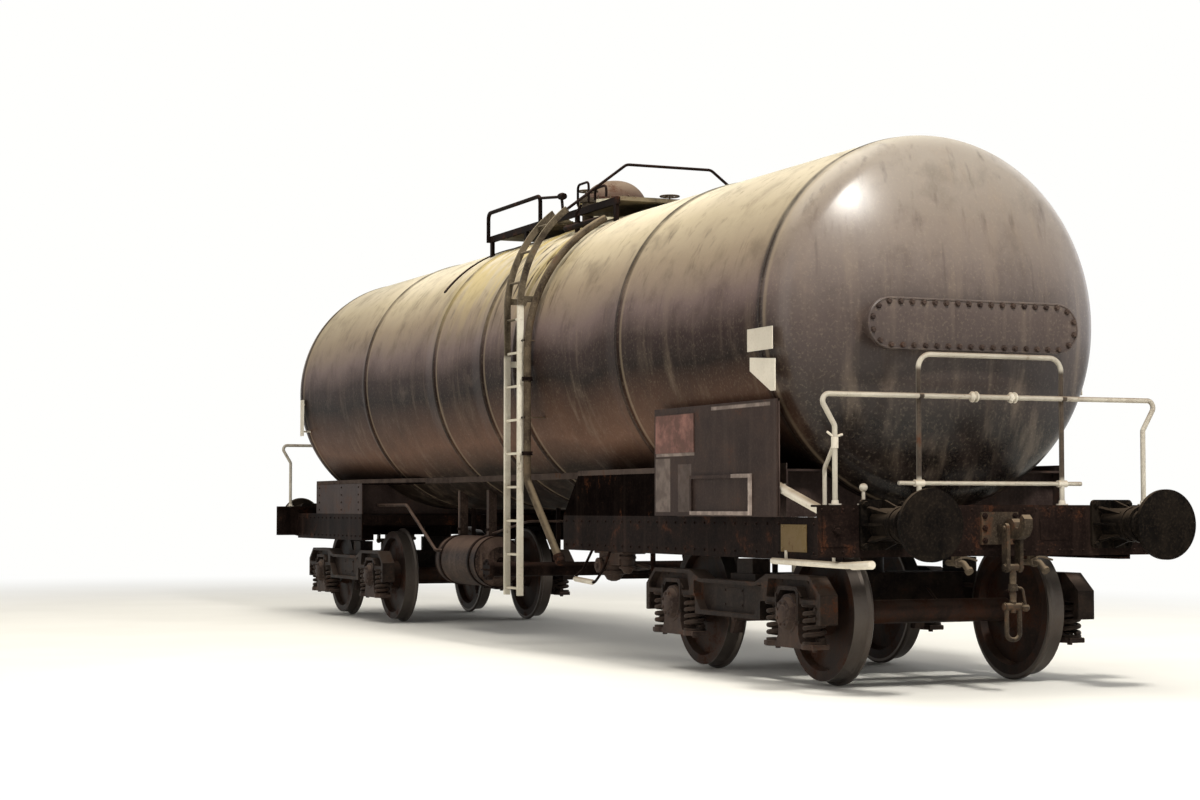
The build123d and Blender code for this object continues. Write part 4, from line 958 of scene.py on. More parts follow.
BUFFER = WeatheredFinish(
    "buffer_grease", "buffer_steel", rgb(12, 11, 11), dust=rgb(70, 60, 50), dust_amount=0.12, rust_amount=0.1,
    gloss=0.01)
HOOK = WeatheredFinish("coupling_oil", "hook_steel", rgb(32, 27, 25), dust_amount=0.2, rust_amount=0.3)
PANEL = WeatheredFinish(
    "panel_grey", "panel_paint", rgb(50, 40, 37), dust=rgb(88, 74, 68), dust_amount=0.28, rust_amount=0.2,
    region=Region.PLACARD, second=rgb(160, 116, 106))
# Strong pale streaks on the air reservoir: painted glints of sunlight over dust.
RESERVOIR_GLINTS = WeatheredFinish(
    "reservoir_dust_and_glints", "frame_paint", rgb(28, 22, 20), dust=rgb(132, 110, 98), dust_amount=0.2,
    rust_amount=0.16, streak=0.6)
PIPE = WeatheredFinish(
    "dusty_pipe", "frame_paint", rgb(40, 31, 27), dust=rgb(150, 134, 110), dust_amount=0.34)
# Paler than the frame on the ledge lips: dust, and painted sunlight along the ledge.
LEDGE = WeatheredFinish(
    "ledge_dust_and_light", "frame_paint", rgb(66, 57, 54), dust=rgb(112, 100, 92), dust_amount=0.34, gloss=0.0)
# Near black on the saddle wings: painted shade under the tank's belly.
SHADED_WING = WeatheredFinish(
    "painted_shade_wing", "frame_paint", rgb(9, 6, 6), dust=rgb(44, 36, 32), dust_amount=0.16, gloss=0.0)
SADDLE = WeatheredFinish(
    "saddle_grey", "frame_paint", rgb(52, 42, 40), dust=rgb(98, 84, 78), dust_amount=0.28)
OCHRE = WeatheredFinish("ochre_plate", "frame_paint", rgb(112, 94, 62))

BY_SLOT = {finish.slot: finish for finish in (
    TANK, FRAME, BOGIE, IRON, SPRING, WHEEL, WHITE, DECK, VALVE, LID, BUFFER, HOOK, PANEL)}
BY_NODE = {
    "ladder_front": LADDER, "ladder_back": LADDER, "end_rails_a": END_RAIL, "end_rails_b": END_RAIL,
    "air_reservoir": RESERVOIR_GLINTS, "drain_pipe": PIPE, "saddle_wings_a": SHADED_WING, "saddle_wings_b": SHADED_WING,
    "saddle_a": SADDLE, "saddle_b": SADDLE,
}


def dress_cad(frame: dict) -> None:
    """Gives every CAD node its own finish, or else the one of its slot.
    """
    slots = {part["node"]: part["material_slot"] for part in frame["record"]["subparts"]}
    for name, obj in frame["nodes"].items():
        obj.data.materials.clear()
        obj.data.materials.append(BY_NODE.get(name, BY_SLOT[slots[name]]).material)
    LOG.info("dressed %d CAD nodes", len(frame["nodes"]))


# ---- pieces


def make_piece(
    name: str, surface: Surface, finish: Finish, body: str = "wagon", slot: str = "",
    shading: Shading = Shading.BY_ANGLE, angle: float = 32.0, replaces: Sequence[str] = (),
) -> None:
    """Turns a surface into a piece at the origin that rides on a body.

    Args:
        name: the piece's name.
        surface: its points and faces, in the row frame.
        finish: what it is dressed in.
        body: the CAD body that carries it.
        slot: the record's material slot, if it isn't the finish's own; not used.
        shading: how its faces are shaded.
        angle: the sharpest edge in degrees that is still smooth.
        replaces: CAD nodes that it stands for.
    """
    mesh = bpy.data.meshes.new(name)
    faces = surface.quads.tolist() + [fan.tolist() for fan in surface.fans]
    mesh.from_pydata(surface.points.tolist(), [], faces)
    mesh.validate(verbose=False)
    work = bmesh.new()
    work.from_mesh(mesh)
    bmesh.ops.remove_doubles(work, verts=work.verts, dist=JOIN_WITHIN)
    bmesh.ops.recalc_face_normals(work, faces=work.faces)
    if shading is Shading.BY_ANGLE:
        work.normal_update()
        for face in work.faces:
            face.smooth = True
        for edge in work.edges:
            if len(edge.link_faces) == 2:
                edge.smooth = edge.calc_face_angle(0.0) < math.radians(angle)
    work.to_mesh(mesh)
    work.free()
    mesh.materials.append(finish.material)
    obj = bpy.data.objects.new(name, mesh)
    bpy.context.scene.collection.objects.link(obj)
    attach(obj, body)
    slot or finish.slot
    if replaces:
        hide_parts(*replaces)
    LOG.info("%s: %d faces on %s", name, len(mesh.polygons), body)


def at_both_ends(stem: str, surface: Surface, finish: Finish, body: str = "wagon") -> None:
    """Makes a piece at end A and its copy, turned half round, at end B.

    Args:
        stem: the pieces' name without the end's letter.
        surface: the surface at end A.
        finish: what it is dressed in.
        body: the body that carries it, with {} where the end's letter goes.
    """
    for end in End:
        make_piece(f"{stem}_{end.value}", surface.at(end), finish, body.format(end.value))


# ---- the tank


@dataclass
class TankShell:
    """The barrel with its bands and welds, and the dished heads.

    Attributes:
        radius: the barrel's radius.
        barrel: half the length between the head welds.
        flange: the head's straight part.
        knuckle: radius of the head's corner arc.
        bands: X of the raised bands.
        band: how high a band stands, half its width and the width of its slope.
        weld: how high a head weld stands and half its width.
    """

    radius: float = TANK_RADIUS
    barrel: float = 5.526
    flange: float = 0.040
    knuckle: float = 0.2566
    bands: tuple = (-3.185, -1.04, 0.23, 1.04, 3.185)
    band: tuple = (0.009, 0.034, 0.008)
    weld: tuple = (0.005, 0.014)

    def build(self) -> None:
        """Builds the shell and puts it in the place of the CAD tank."""
        head = self._head()
        profile = np.concatenate([head * (-1.0, 1.0), self._barrel(), head[::-1]])
        surface = turned(profile, (0, 0, TANK_AXIS_Z), ALONG, 224)
        make_piece("tank_shell", surface, TANK, angle=40.0, replaces=("tank",))

    def _head(self) -> Points:
        """A head's line at end A, from its middle outwards: the crown's arc, then the knuckle's.

        Each arc is its centre + its radius (cos a, sin a). The crown's radius is the tank's
        diameter, and the arcs touch where their directions agree.

        Returns:
            (x, r) pairs.
        """
        crown = 2 * self.radius
        rise = self.radius - self.knuckle
        start = self.barrel + self.flange
        centre = start - math.sqrt((crown - self.knuckle) ** 2 - rise ** 2)
        meet = math.atan2(rise, start - centre)
        a = np.linspace(0.0, meet, 26)
        b = np.linspace(meet, math.pi / 2, 14)[1:]
        x = np.concatenate([centre + crown * np.cos(a), start + self.knuckle * np.cos(b)])
        r = np.concatenate([crown * np.sin(a), rise + self.knuckle * np.sin(b)])
        return np.stack([x, r], axis=1)

    def _barrel(self) -> Points:
        """The barrel's line: straight, with a sloped rise at each band and a bead at each weld.

        Returns:
            (x, r) pairs, thinned where the line is straight.
        """
        x = np.arange(-self.barrel - 0.03, self.barrel + 0.031, 0.005)
        r = np.full_like(x, self.radius)
        rise, half, slope = self.band
        for band in self.bands:
            r += rise * np.clip((half - np.abs(x - band)) / slope, 0.0, 1.0)
        bead, width = self.weld
        for weld in (-self.barrel, self.barrel):
            r += bead * np.clip(1 - np.abs(x - weld) / width, 0.0, 1.0)
        keep = np.ones(len(x), bool)
        keep[1:-1] = (np.abs(np.diff(r, 2)) > 1e-7) | (np.arange(1, len(x) - 1) % 50 == 0)
        return np.stack([x[keep], r[keep]], axis=1)


@dataclass
class HeadCoverTrim:
    """The bolts and the rim bar round the oval cover on each head.

    Attributes:
        half_length: half the cover's length.
        half_height: half its height.
        middle_z: height of its middle.
        face_x: X of its outer face at end A.
        pitch: about how far apart the bolts stand.
    """

    half_length: float = 0.815
    half_height: float = 0.172
    middle_z: float = 2.390
    face_x: float = 6.149
    pitch: float = 0.086

    def build(self) -> None:
        """Builds the bolts and the rim at both ends."""
        at_both_ends("head_cover_bolts", bolts(self._outline(0.030, self.pitch), ALONG, 0.0165, 0.020), IRON)
        at_both_ends("head_cover_rim", tube(self._outline(0.008, 0.03), 0.008, 8, closed=True), TANK)

    def _outline(self, inset: float, pitch: float) -> Points:
        """Points along the oval: two straight runs joined by half circles, by arc length s.

        Args:
            inset: how far inside the cover's edge.
            pitch: about how far apart.

        Returns:
            The points on the cover's face.
        """
        r = self.half_height - inset
        a = self.half_length - self.half_height
        arc = math.pi * r
        total = 4 * a + 2 * arc
        s = np.linspace(0.0, total, int(round(total / pitch)), endpoint=False)
        one, two = (s - 2 * a) / r, (s - 4 * a - arc) / r
        runs = [s < 2 * a, s < 2 * a + arc, s < 4 * a + arc]
        y = np.select(runs, [s - a, a + r * np.sin(one), 3 * a + arc - s], -a - r * np.sin(two))
        z = np.select(runs, [-r + 0 * s, -r * np.cos(one), r + 0 * s], r * np.cos(two))
        return np.stack([np.full_like(s, self.face_x), y, self.middle_z + z], axis=1)


@dataclass
class ManholeTrim:
    """Swing bolts round the manhole's flange, the lid's handle and the hinge pin's heads.

    Attributes:
        flange_z: height of the flange's top.
        thickness: the flange's thickness.
        bolt_circle: radius of the circle of bolts, outside the lid.
        count: bolts on the whole circle, of which those at the hinge are left out.
        dome_top: height of the lid's top.
        hinge: a head of the hinge's pin.
    """

    flange_z: float = 3.948
    thickness: float = 0.036
    bolt_circle: float = 0.3235
    count: int = 18
    dome_top: float = 4.1205
    hinge: tuple = (-0.155, 0.046, 3.973)

    def build(self) -> None:
        """Builds the fixed bolts on the neck, the handle on the lid and the pin's heads."""
        x, grip, foot, top = MANHOLE_X, 0.085, self.dome_top - 0.012, self.dome_top + 0.018
        spots = circle((x, 0, self.flange_z - self.thickness), UP, self.bolt_circle, self.count)
        spots = spots[spots[:, 0] > x - 0.26]
        make_piece("manhole_bolts", merge([
            studs([(0, 0), (0, 0.0065), (0.072, 0.0065), (0.076, 0)], spots, UP, 8),
            bolts(spots + (0, 0, self.thickness), UP, 0.0095, 0.014),
            bolts(spots + (0, 0, 0.006), DOWN, 0.0105, 0.012),
            ring_bar((x, 0, 3.845), UP, 0.291, 0.010, 56),
        ]), VALVE)
        make_piece("lid_handle", merge([
            rod([(x, -grip, foot), (x, -grip, top), (x, grip, top), (x, grip, foot)], 0.018, 0.008, 10),
            ring_bar((x, 0, 3.9745), UP, 0.303, 0.005, 64),
            ring_bar((x + 0.318, 0, 3.967), ACROSS, 0.016, 0.006, 20),
        ]), LID, "manhole_lid")
        make_piece("hinge_pin_heads", mirrored(bolts(self.hinge, ACROSS, 0.021, 0.014)), VALVE)


@dataclass
class TopGear:
    """The handwheels on the top valves, the pipe to the drain, grab loops and the deck's grating.

    Attributes:
        valves: (x, y, top height, wheel radius) of each valve with a handwheel.
        deck_top: height of the deck's top.
        deck_x: where the deck starts and ends.
        deck_half: half its width inside the edge rails.
        edge_y: distance of the edge rails from the middle.
        hole: radius left free round the manhole.
        bar_pitch: how far apart the grating's bars are.
        grabs: (x, side, height above the deck) of each grab loop.
        clamp: profile of the clamp on the guard's brace.
    """

    valves: tuple = ((0.56, -0.40, 3.931, 0.085), (0.56, 0.40, 3.931, 0.085), (-0.11, 0.43, 3.891, 0.050))
    deck_top: float = 3.798
    deck_x: tuple = (-1.37, 1.62)
    deck_half: float = 0.565
    edge_y: float = 0.615
    hole: float = 0.41
    bar_pitch: float = 0.042
    grabs: tuple = ((0.84, -1, 0.20), (1.22, -1, 0.12), (0.84, 1, 0.20))
    clamp: tuple = ((0, 0), (0, 0.028), (0.05, 0.034), (0.10, 0.028), (0.10, 0))

    def build(self) -> None:
        """Builds the wheels, the pipes, the loops and the grating."""
        make_piece("valve_handwheels", merge([self._wheel(*valve) for valve in self.valves]), VALVE)
        make_piece("deck_grating", self._grating(), DECK, shading=Shading.FLAT)
        make_piece("drain_feed_pipe", merge([
            rod([(0.56, -0.45, 3.70), (0.56, -0.60, 3.66), (0.66, -0.655, 3.632), (1.36, -0.655, 3.632),
                 (1.46, -0.64, 3.628)], 0.045, 0.026, 12),
            rod([(1.02, -0.655, 3.632), (1.02, -0.72, 3.70), (1.02, -0.66, 3.80)], 0.04, 0.012, 10),
        ]), FRAME)
        edge = -self.edge_y
        make_piece("guard_brace", merge([
            rod([(-0.06, edge, 4.000), (0.47, edge, 3.945), (0.50, edge, 3.80)], 0.05, 0.013, 10),
            turned(self.clamp, (0.43, edge, 3.952), (1, 0, -0.1), 12),
        ]), FRAME)
        loops = [self._loop(x, side * self.edge_y, lift) for x, side, lift in self.grabs]
        make_piece("deck_grab_loops", merge(loops), FRAME)

    def _loop(self, x: float, y: float, lift: float) -> Surface:
        """A bent bar on the deck's edge."""
        foot, top = self.deck_top + 0.02, self.deck_top + lift
        return rod([(x, y, foot), (x, y, top), (x + 0.24, y, top), (x + 0.24, y, foot)], 0.05, 0.011, 10)

    @staticmethod
    def _wheel(x: float, y: float, z: float, radius: float) -> Surface:
        """A valve's stem and packing nut under a handwheel of five spokes.

        Args:
            x: the valve's X.
            y: its Y.
            z: height of its top.
            radius: the wheel's radius.

        Returns:
            The wheel and its stem.
        """
        hub, rim = (x, y, z + 0.068), (x, y, z + 0.062)
        return merge([
            turned([(0, 0), (0, 0.008), (0.075, 0.008), (0.082, 0)], (x, y, z - 0.004), UP, 10),
            bolts((x, y, z), UP, 0.022, 0.022),
            ring_bar(rim, UP, radius, 0.0075, 36),
            *(tube([hub, end], 0.006, 6) for end in circle(rim, UP, radius, 5)),
        ])

    def _grating(self) -> Surface:
        """Bars across the deck and three rails along it, cut off round the manhole.

        A bar at distance d from the manhole's middle starts at sqrt(hole^2 - d^2) from the
        middle line on each side.

        Returns:
            The bars and the rails.
        """
        x = np.arange(self.deck_x[0], self.deck_x[1], self.bar_pitch)
        inner = np.sqrt(np.clip(self.hole ** 2 - (x - MANHOLE_X) ** 2, 0.0, None))
        middle, length = (inner + self.deck_half) / 2, self.deck_half - inner
        z = np.full_like(x, self.deck_top + 0.004)
        sizes = np.stack([np.full_like(x, 0.007), length, np.full_like(x, 0.012)], axis=1)
        bars = [boxes(np.stack([x, side * middle, z], axis=1), sizes) for side in (-1, 1)]
        rails = lattice((-0.80, 1.15), (-0.28, 0.0, 0.28), (self.deck_top + 0.003,))
        return merge([*bars, boxes(rails, [(1.10, 0.012, 0.010)] * 3 + [(0.92, 0.012, 0.010)] * 3)])


@dataclass
class LadderTrim:
    """Bolts and rung ends on the ladders, and the drain pipe's joints, clips and end cap.

    Attributes:
        stiles: name, X and outward direction of each stile.
        holds: heights of the bolts on the stiles.
        rungs: heights of the lowest rung and of the end of the rungs, and the rungs' pitch.
        pipe_x: X of the drain pipe's upright run.
        flanges: profile of a pair of flanges with a narrow gap between them.
        outlet: direction of the drain pipe at its lower end.
    """

    stiles: tuple = (("left", 1.10, -1), ("right", 1.40, 1))
    holds: tuple = (2.398, 2.928, 0.70, 1.32)
    rungs: tuple = (0.523, 2.85, 0.28)
    pipe_x: float = 1.46
    flanges: tuple = ((-0.016, 0.030), (-0.016, 0.046), (-0.002, 0.046), (-0.002, 0.040), (0.002, 0.040),
                      (0.002, 0.046), (0.016, 0.046), (0.016, 0.030))
    outlet: tuple = (0.62, 0.10, -0.78)

    def build(self) -> None:
        """Builds the ladders' bolts and the pipe's joints."""
        ends = []
        for side, x, face in self.stiles:
            spots = lattice((x + face * 0.013,), (-1.358, 1.358), self.holds)
            make_piece(f"ladder_bolts_{side}", bolts(spots, (face, 0, 0), 0.009, 0.010), LADDER)
            spots = lattice((x + face * 0.012,), (-1.37,), np.arange(*self.rungs))
            ends.append(bolts(spots, (face, 0, 0), 0.013, 0.007, 12))
        make_piece("rung_ends", mirrored(merge(ends)), LADDER)
        cap = [(0, 0), (0, 0.040), (0.022, 0.044), (0.040, 0.040), (0.046, 0)]
        clips = lattice((self.pipe_x - 0.025, self.pipe_x + 0.025), (-1.366,), (2.578, 1.938))
        make_piece("drain_joints", merge([
            turned(self.flanges, (self.pipe_x, -1.331, 2.258), UP, 20),
            turned(self.flanges, (self.pipe_x, -1.331, 1.640), UP, 20),
            turned(self.flanges, (1.985, -1.262, 0.791), self.outlet, 20),
            turned(cap, (1.995, -1.26, 0.778), (0.62, 0.08, -0.78), 20),
            bolts(clips, OUT, 0.008, 0.008),
        ]), FRAME)


# ---- frame fittings


def hoop(start: float, stop: float, inner: float, outer: float) -> Pairs:
    """The profile of a plain hoop, from its inner rim round to its inner rim."""
    return [(start, inner), (start, outer), (stop, outer), (stop, inner)]


@dataclass
class SideGear:
    """Rivets and bolts on the sills, saddles and panels, the ochre plate and the release handle.

    Attributes:
        web_y: distance of the sills' outer faces from the middle.
        rivet_z: heights of the sills' two rows of rivets.
        long_start: X where the long sill starts.
        short_start: X where the short sill starts.
        end_x: X where the sills meet the headstock.
        upright_x: X of the upright rows on the saddle plates.
        panel_face: distance of the panel's outer face from the middle.
        ledge_z: heights of the ledge lips' bottom and top.
        lip: the lips' thickness.
        rib: outline of a gusset under the ledge, as distance from the middle and height.
    """

    web_y: float = 1.1
    rivet_z: tuple = (0.893, 1.083)
    long_start: float = 1.69
    short_start: float = 3.86
    end_x: float = 6.31
    upright_x: tuple = (3.98, 4.60, 5.44)
    panel_face: float = 1.2167
    ledge_z: tuple = (1.4455, 1.488)
    lip: float = 0.010
    rib: tuple = ((0.70, 1.432), (0.70, 1.395), (1.08, 1.18), (1.084, 1.18), (1.084, 1.432))

    def build(self) -> None:
        """Builds the fittings on both sides of both ends."""
        front, back = self._rivet_spots(self.long_start, -1), self._rivet_spots(self.short_start, 1)
        hidden = (np.abs(front[:, 0] - 5.665) < 0.195) & (front[:, 2] < 1.1)
        heads = [rivets(front[~hidden], OUT, 0.011), rivets(back, ACROSS, 0.011)]
        at_both_ends("sill_rivets", merge(heads), FRAME)
        at_both_ends("panel_trim", self._panel(), PANEL)
        at_both_ends("ledge_lips", self._lips(), LEDGE)
        at_both_ends("sill_plate", merge([
            boxes((5.665, -self.web_y - 0.003, 0.990), (0.35, 0.006, 0.18)),
            rivets(lattice((5.51, 5.82), (-self.web_y - 0.006,), (0.918, 1.062)), OUT, 0.010),
        ]), OCHRE)
        pull = [(2.18, -1.05, 0.855), (2.18, -1.13, 0.700), (2.05, -1.16, 0.622), (2.48, -1.16, 0.602),
                (2.54, -1.12, 0.690), (2.54, -1.05, 0.855)]
        at_both_ends("release_rod", rod(pull, 0.03, 0.011, 10), FRAME)
        grip = [(0, 0), (0, 0.016), (0.02, 0.021), (0.36, 0.021), (0.38, 0.016), (0.38, 0)]
        at_both_ends("release_handle", turned(grip, (2.075, -1.16, 0.621), (1, 0, -0.0465), 14), WHITE)
        ribs = [plate(np.array(self.rib) * (side, 1.0), x - 0.005, x + 0.005, 0)
                for x in (4.27, 4.95, 5.20) for side in (1, -1)]
        at_both_ends("saddle_ribs", merge(ribs), FRAME)

    def _rivet_spots(self, start: float, side: int) -> Points:
        """Two rows along a sill and upright rows on its saddle plates.

        Args:
            start: X where the sill starts.
            side: -1 for the front, 1 for the back.

        Returns:
            The rivets' places.
        """
        y = side * self.web_y
        rows = [row((start + 0.06, y, z), (self.end_x - 0.06, y, z), 0.16) for z in self.rivet_z]
        return np.concatenate(rows + [row((x, y, 1.17), (x, y, 1.41), 0.08) for x in self.upright_x])

    def _panel(self) -> Surface:
        """The side panel's edge bars, bolts and rivets, and the placard's clips.

        Returns:
            The trim of one panel.
        """
        y = -self.panel_face
        edges = [(4.733, y - 0.002, 1.900), (5.678, y - 0.002, 1.52), (3.788, y - 0.002, 1.52)]
        feet = lattice((3.96, 4.70, 5.44), (y,), (1.232, 1.252))
        sides = lattice((3.83, 5.64), (y,), (1.17, 1.50, 1.88))
        return merge([
            boxes(edges, [(1.906, 0.010, 0.016), (0.016, 0.010, 0.776), (0.016, 0.010, 0.776)]),
            bolts([*feet, *sides], OUT, 0.009, 0.009),
            rivets(lattice((4.413, 5.317), (y - 0.016,), (1.153, 1.405)), OUT, 0.008),
            boxes(lattice((3.86, 4.40), (y - 0.006,), (1.583, 1.858)), (0.03, 0.012, 0.022)),
        ])

    def _lips(self) -> Surface:
        """Upright lips along the ledges' outer edges, and the strip that joins them.

        Returns:
            The lips of the long side, of the short side, and the strip between the wings.
        """
        (low, high), y, t = self.ledge_z, self.web_y, self.lip
        long_lip = [(2.0, -y), (5.556, -y), (5.556, t - y), (2.0, t - y)]
        short_lip = [(2.55, 0.85), (3.86, y), (5.556, y), (5.556, y - t), (3.86, y - t), (2.55, 0.85 - t)]
        strip = [(2.04, -0.845), (2.04, -0.775), (-2.56, -0.775), (-2.56, -0.845)]
        lips = [plate(outline, low, high, 2) for outline in (long_lip, short_lip[::-1])]
        return merge([*lips, plate(strip, 1.434, high, 2)])


@dataclass
class EndGear:
    """Bolts, cocks' handles, fittings and steps at each end of the frame.

    Attributes:
        face_x: X of the headstock's outer face.
        hook_z: height of the draw hook.
        row_z: heights of the headstock's rows of rivets.
        rows: (from Y, to Y, pitch) of the rows on the front half.
        buffer_y: distance of the buffers from the middle.
        buffer_z: height of the buffers.
        hoops: profiles of the two hoops on a buffer's sleeve.
        rail: X and height of the handrail.
        post_x: X of the hoop's posts.
        joint: profile of a flanged joint on the handrail.
        foot: profile of a foot under a post.
        coupling_x: X of the coupling.
    """

    face_x: float = 6.40
    hook_z: float = 1.058
    row_z: tuple = (0.91, 1.176)
    rows: tuple = ((-1.30, -1.07, 0.09), (1.07, 1.30, 0.09), (-0.66, -0.20, 0.10), (0.20, 0.66, 0.10))
    buffer_y: float = 0.875
    buffer_z: float = 1.083
    hoops: tuple = (
        ((6.628, 0.10), (6.628, 0.113), (6.646, 0.117), (6.664, 0.113), (6.664, 0.10)),
        ((6.754, 0.080), (6.754, 0.098), (6.762, 0.101), (6.772, 0.095), (6.776, 0.080)),
    )
    rail: tuple = (6.355, 1.908)
    post_x: float = 6.325
    joint: tuple = ((-0.030, 0.015), (-0.030, 0.024), (-0.018, 0.036), (-0.010, 0.036), (-0.006, 0.022),
                    (0.006, 0.022), (0.010, 0.036), (0.018, 0.036), (0.030, 0.024), (0.030, 0.015))
    foot: tuple = ((0, 0), (0, 0.040), (0.008, 0.040), (0.008, 0.024), (0.030, 0.021), (0.030, 0.015))
    coupling_x: float = 6.56

    def build(self) -> None:
        """Builds the end's fittings at both ends."""
        at_both_ends("headstock_bolts", self._headstock(), FRAME)
        at_both_ends("buffer_trim", self._buffers(), BUFFER)
        at_both_ends("rail_fittings", self._rails(), WHITE)
        at_both_ends("cock_handles", self._cocks(), VALVE)
        sleeve = [(0, 0), (0.004, 0.026), (0.24, 0.027), (0.246, 0.020)]
        socket = [(0, 0), (0, 0.030), (0.05, 0.032), (0.055, 0.025)]
        at_both_ends("tube_caps", merge([
            turned(sleeve, (6.515, -1.15, 0.8285), (0.999, 0, 0.045), 18),
            turned(socket, (5.475, -1.1605, 1.360), (0.965, 0, -0.262), 18),
        ]), WHITE)
        at_both_ends("coupling_trim", self._coupling(), HOOK, "coupling_{}")

    def _headstock(self) -> Surface:
        """Bolts round the hook's guide plate, rivet rows, a blank plate and a cover with its bolt.

        Returns:
            The headstock's trim.
        """
        x = self.face_x
        guide = lattice((x + 0.020,), (-0.115, 0.115), self.hook_z + np.array([-0.08, 0.0, 0.08]))
        heads = [row((x, left, z), (x, right, z), pitch)
                 for left, right, pitch in self.rows for z in self.row_z]
        return merge([
            bolts(guide, ALONG, 0.016, 0.018),
            rivets(np.concatenate(heads), ALONG, 0.011),
            boxes((x + 0.003, 0.43, 1.05), (0.006, 0.22, 0.14)),
            boxes((x + 0.004, -1.20, 1.045), (0.008, 0.20, 0.20)),
            bolts((x + 0.008, -1.20, 1.045), ALONG, 0.022, 0.022),
        ])

    def _buffers(self) -> Surface:
        """Each buffer's base bolts and the hoops on its sleeve.

        Returns:
            The trim of both buffers.
        """
        parts, z, corner = [], self.buffer_z, 0.132
        for y in (-self.buffer_y, self.buffer_y):
            spots = lattice((self.face_x + 0.024,), (y - corner, y + corner), (z - corner, z + corner))
            parts.append(bolts(spots, ALONG, 0.018, 0.022))
            parts += [turned(profile, (0, y, z), ALONG, 40) for profile in self.hoops]
        return merge(parts)

    def _rails(self) -> Surface:
        """Flanged joints on the handrail, feet under the posts and a small cap on the front post.

        Returns:
            The trim of the handrail and the hoop.
        """
        (x, z), post, sleeve = self.rail, self.post_x, hoop(-0.035, 0.035, 0.015, 0.023)
        feet = ((x, -1.18), (x, 1.18), (post, -0.548), (post, 0.548), (x, -0.975))
        return merge([
            *(turned(self.joint, (x, y, z), ACROSS, 16) for y in (-0.148, 0.148)),
            turned(sleeve, (x, -1.18, 1.600), UP, 14),
            *(turned(sleeve, (post, y, 1.348), ACROSS, 14) for y in (-0.548, 0.548)),
            *(turned(self.foot, (*foot, 1.208), UP, 16) for foot in feet),
            rod([(x, -1.235, 1.668), (x, -1.195, 1.640), (x, -1.165, 1.640), (x, -1.125, 1.652)],
                0.010, 0.008),
        ])

    @staticmethod
    def _cocks() -> Surface:
        """A lever, a spindle nut and two collars on each brake pipe.

        Returns:
            The trim of both pipes.
        """
        parts = []
        for y in (-0.29, 0.29):
            parts += [
                bolts((6.395, y, 0.852), UP, 0.016, 0.014),
                rod([(6.395, y, 0.868), (6.400, y + 0.05, 0.870), (6.410, y + 0.12, 0.850)], 0.02, 0.007, 8),
                turned(hoop(-0.012, 0.014, 0.018, 0.030), (6.375, y, 0.834), ALONG, 16),
                turned(hoop(0, 0.02, 0.018, 0.028), (6.493, y, 0.793), (0.78, 0, -0.62), 16),
            ]
        return merge(parts)

    def _coupling(self) -> Surface:
        """The screw's thread, its lever with a round weight, and the pins' heads.

        The thread's radius steps between two values along the screw.

        Returns:
            The trim of one coupling.
        """
        x = self.coupling_x
        depth = np.arange(0.0, 0.08, 0.004)
        thread = np.stack([depth, 0.0195 + 0.0035 * (np.arange(len(depth)) % 2)], axis=1)
        weight = [(0, 0), (0.005, 0.018), (0.018, 0.026), (0.034, 0.024), (0.048, 0.012), (0.050, 0)]
        return merge([
            turned(thread, (x, 0, 0.70), UP, 20),
            turned(thread[:16], (x, 0, 0.585), UP, 20),
            turned(hoop(-0.02, 0.02, 0.018, 0.030), (x, 0, 0.680), UP, 20),
            rod([(x, 0.026, 0.680), (x + 0.02, 0.060, 0.675), (x + 0.03, 0.075, 0.560)], 0.02, 0.009, 10),
            turned(weight, (x + 0.03, 0.075, 0.575), (0.08, 0, -1.0), 18),
            mirrored(bolts([(x, 0.061, 0.808), (x, 0.061, 0.558)], ACROSS, 0.022, 0.012, 12)),
        ])


# ---- bogies


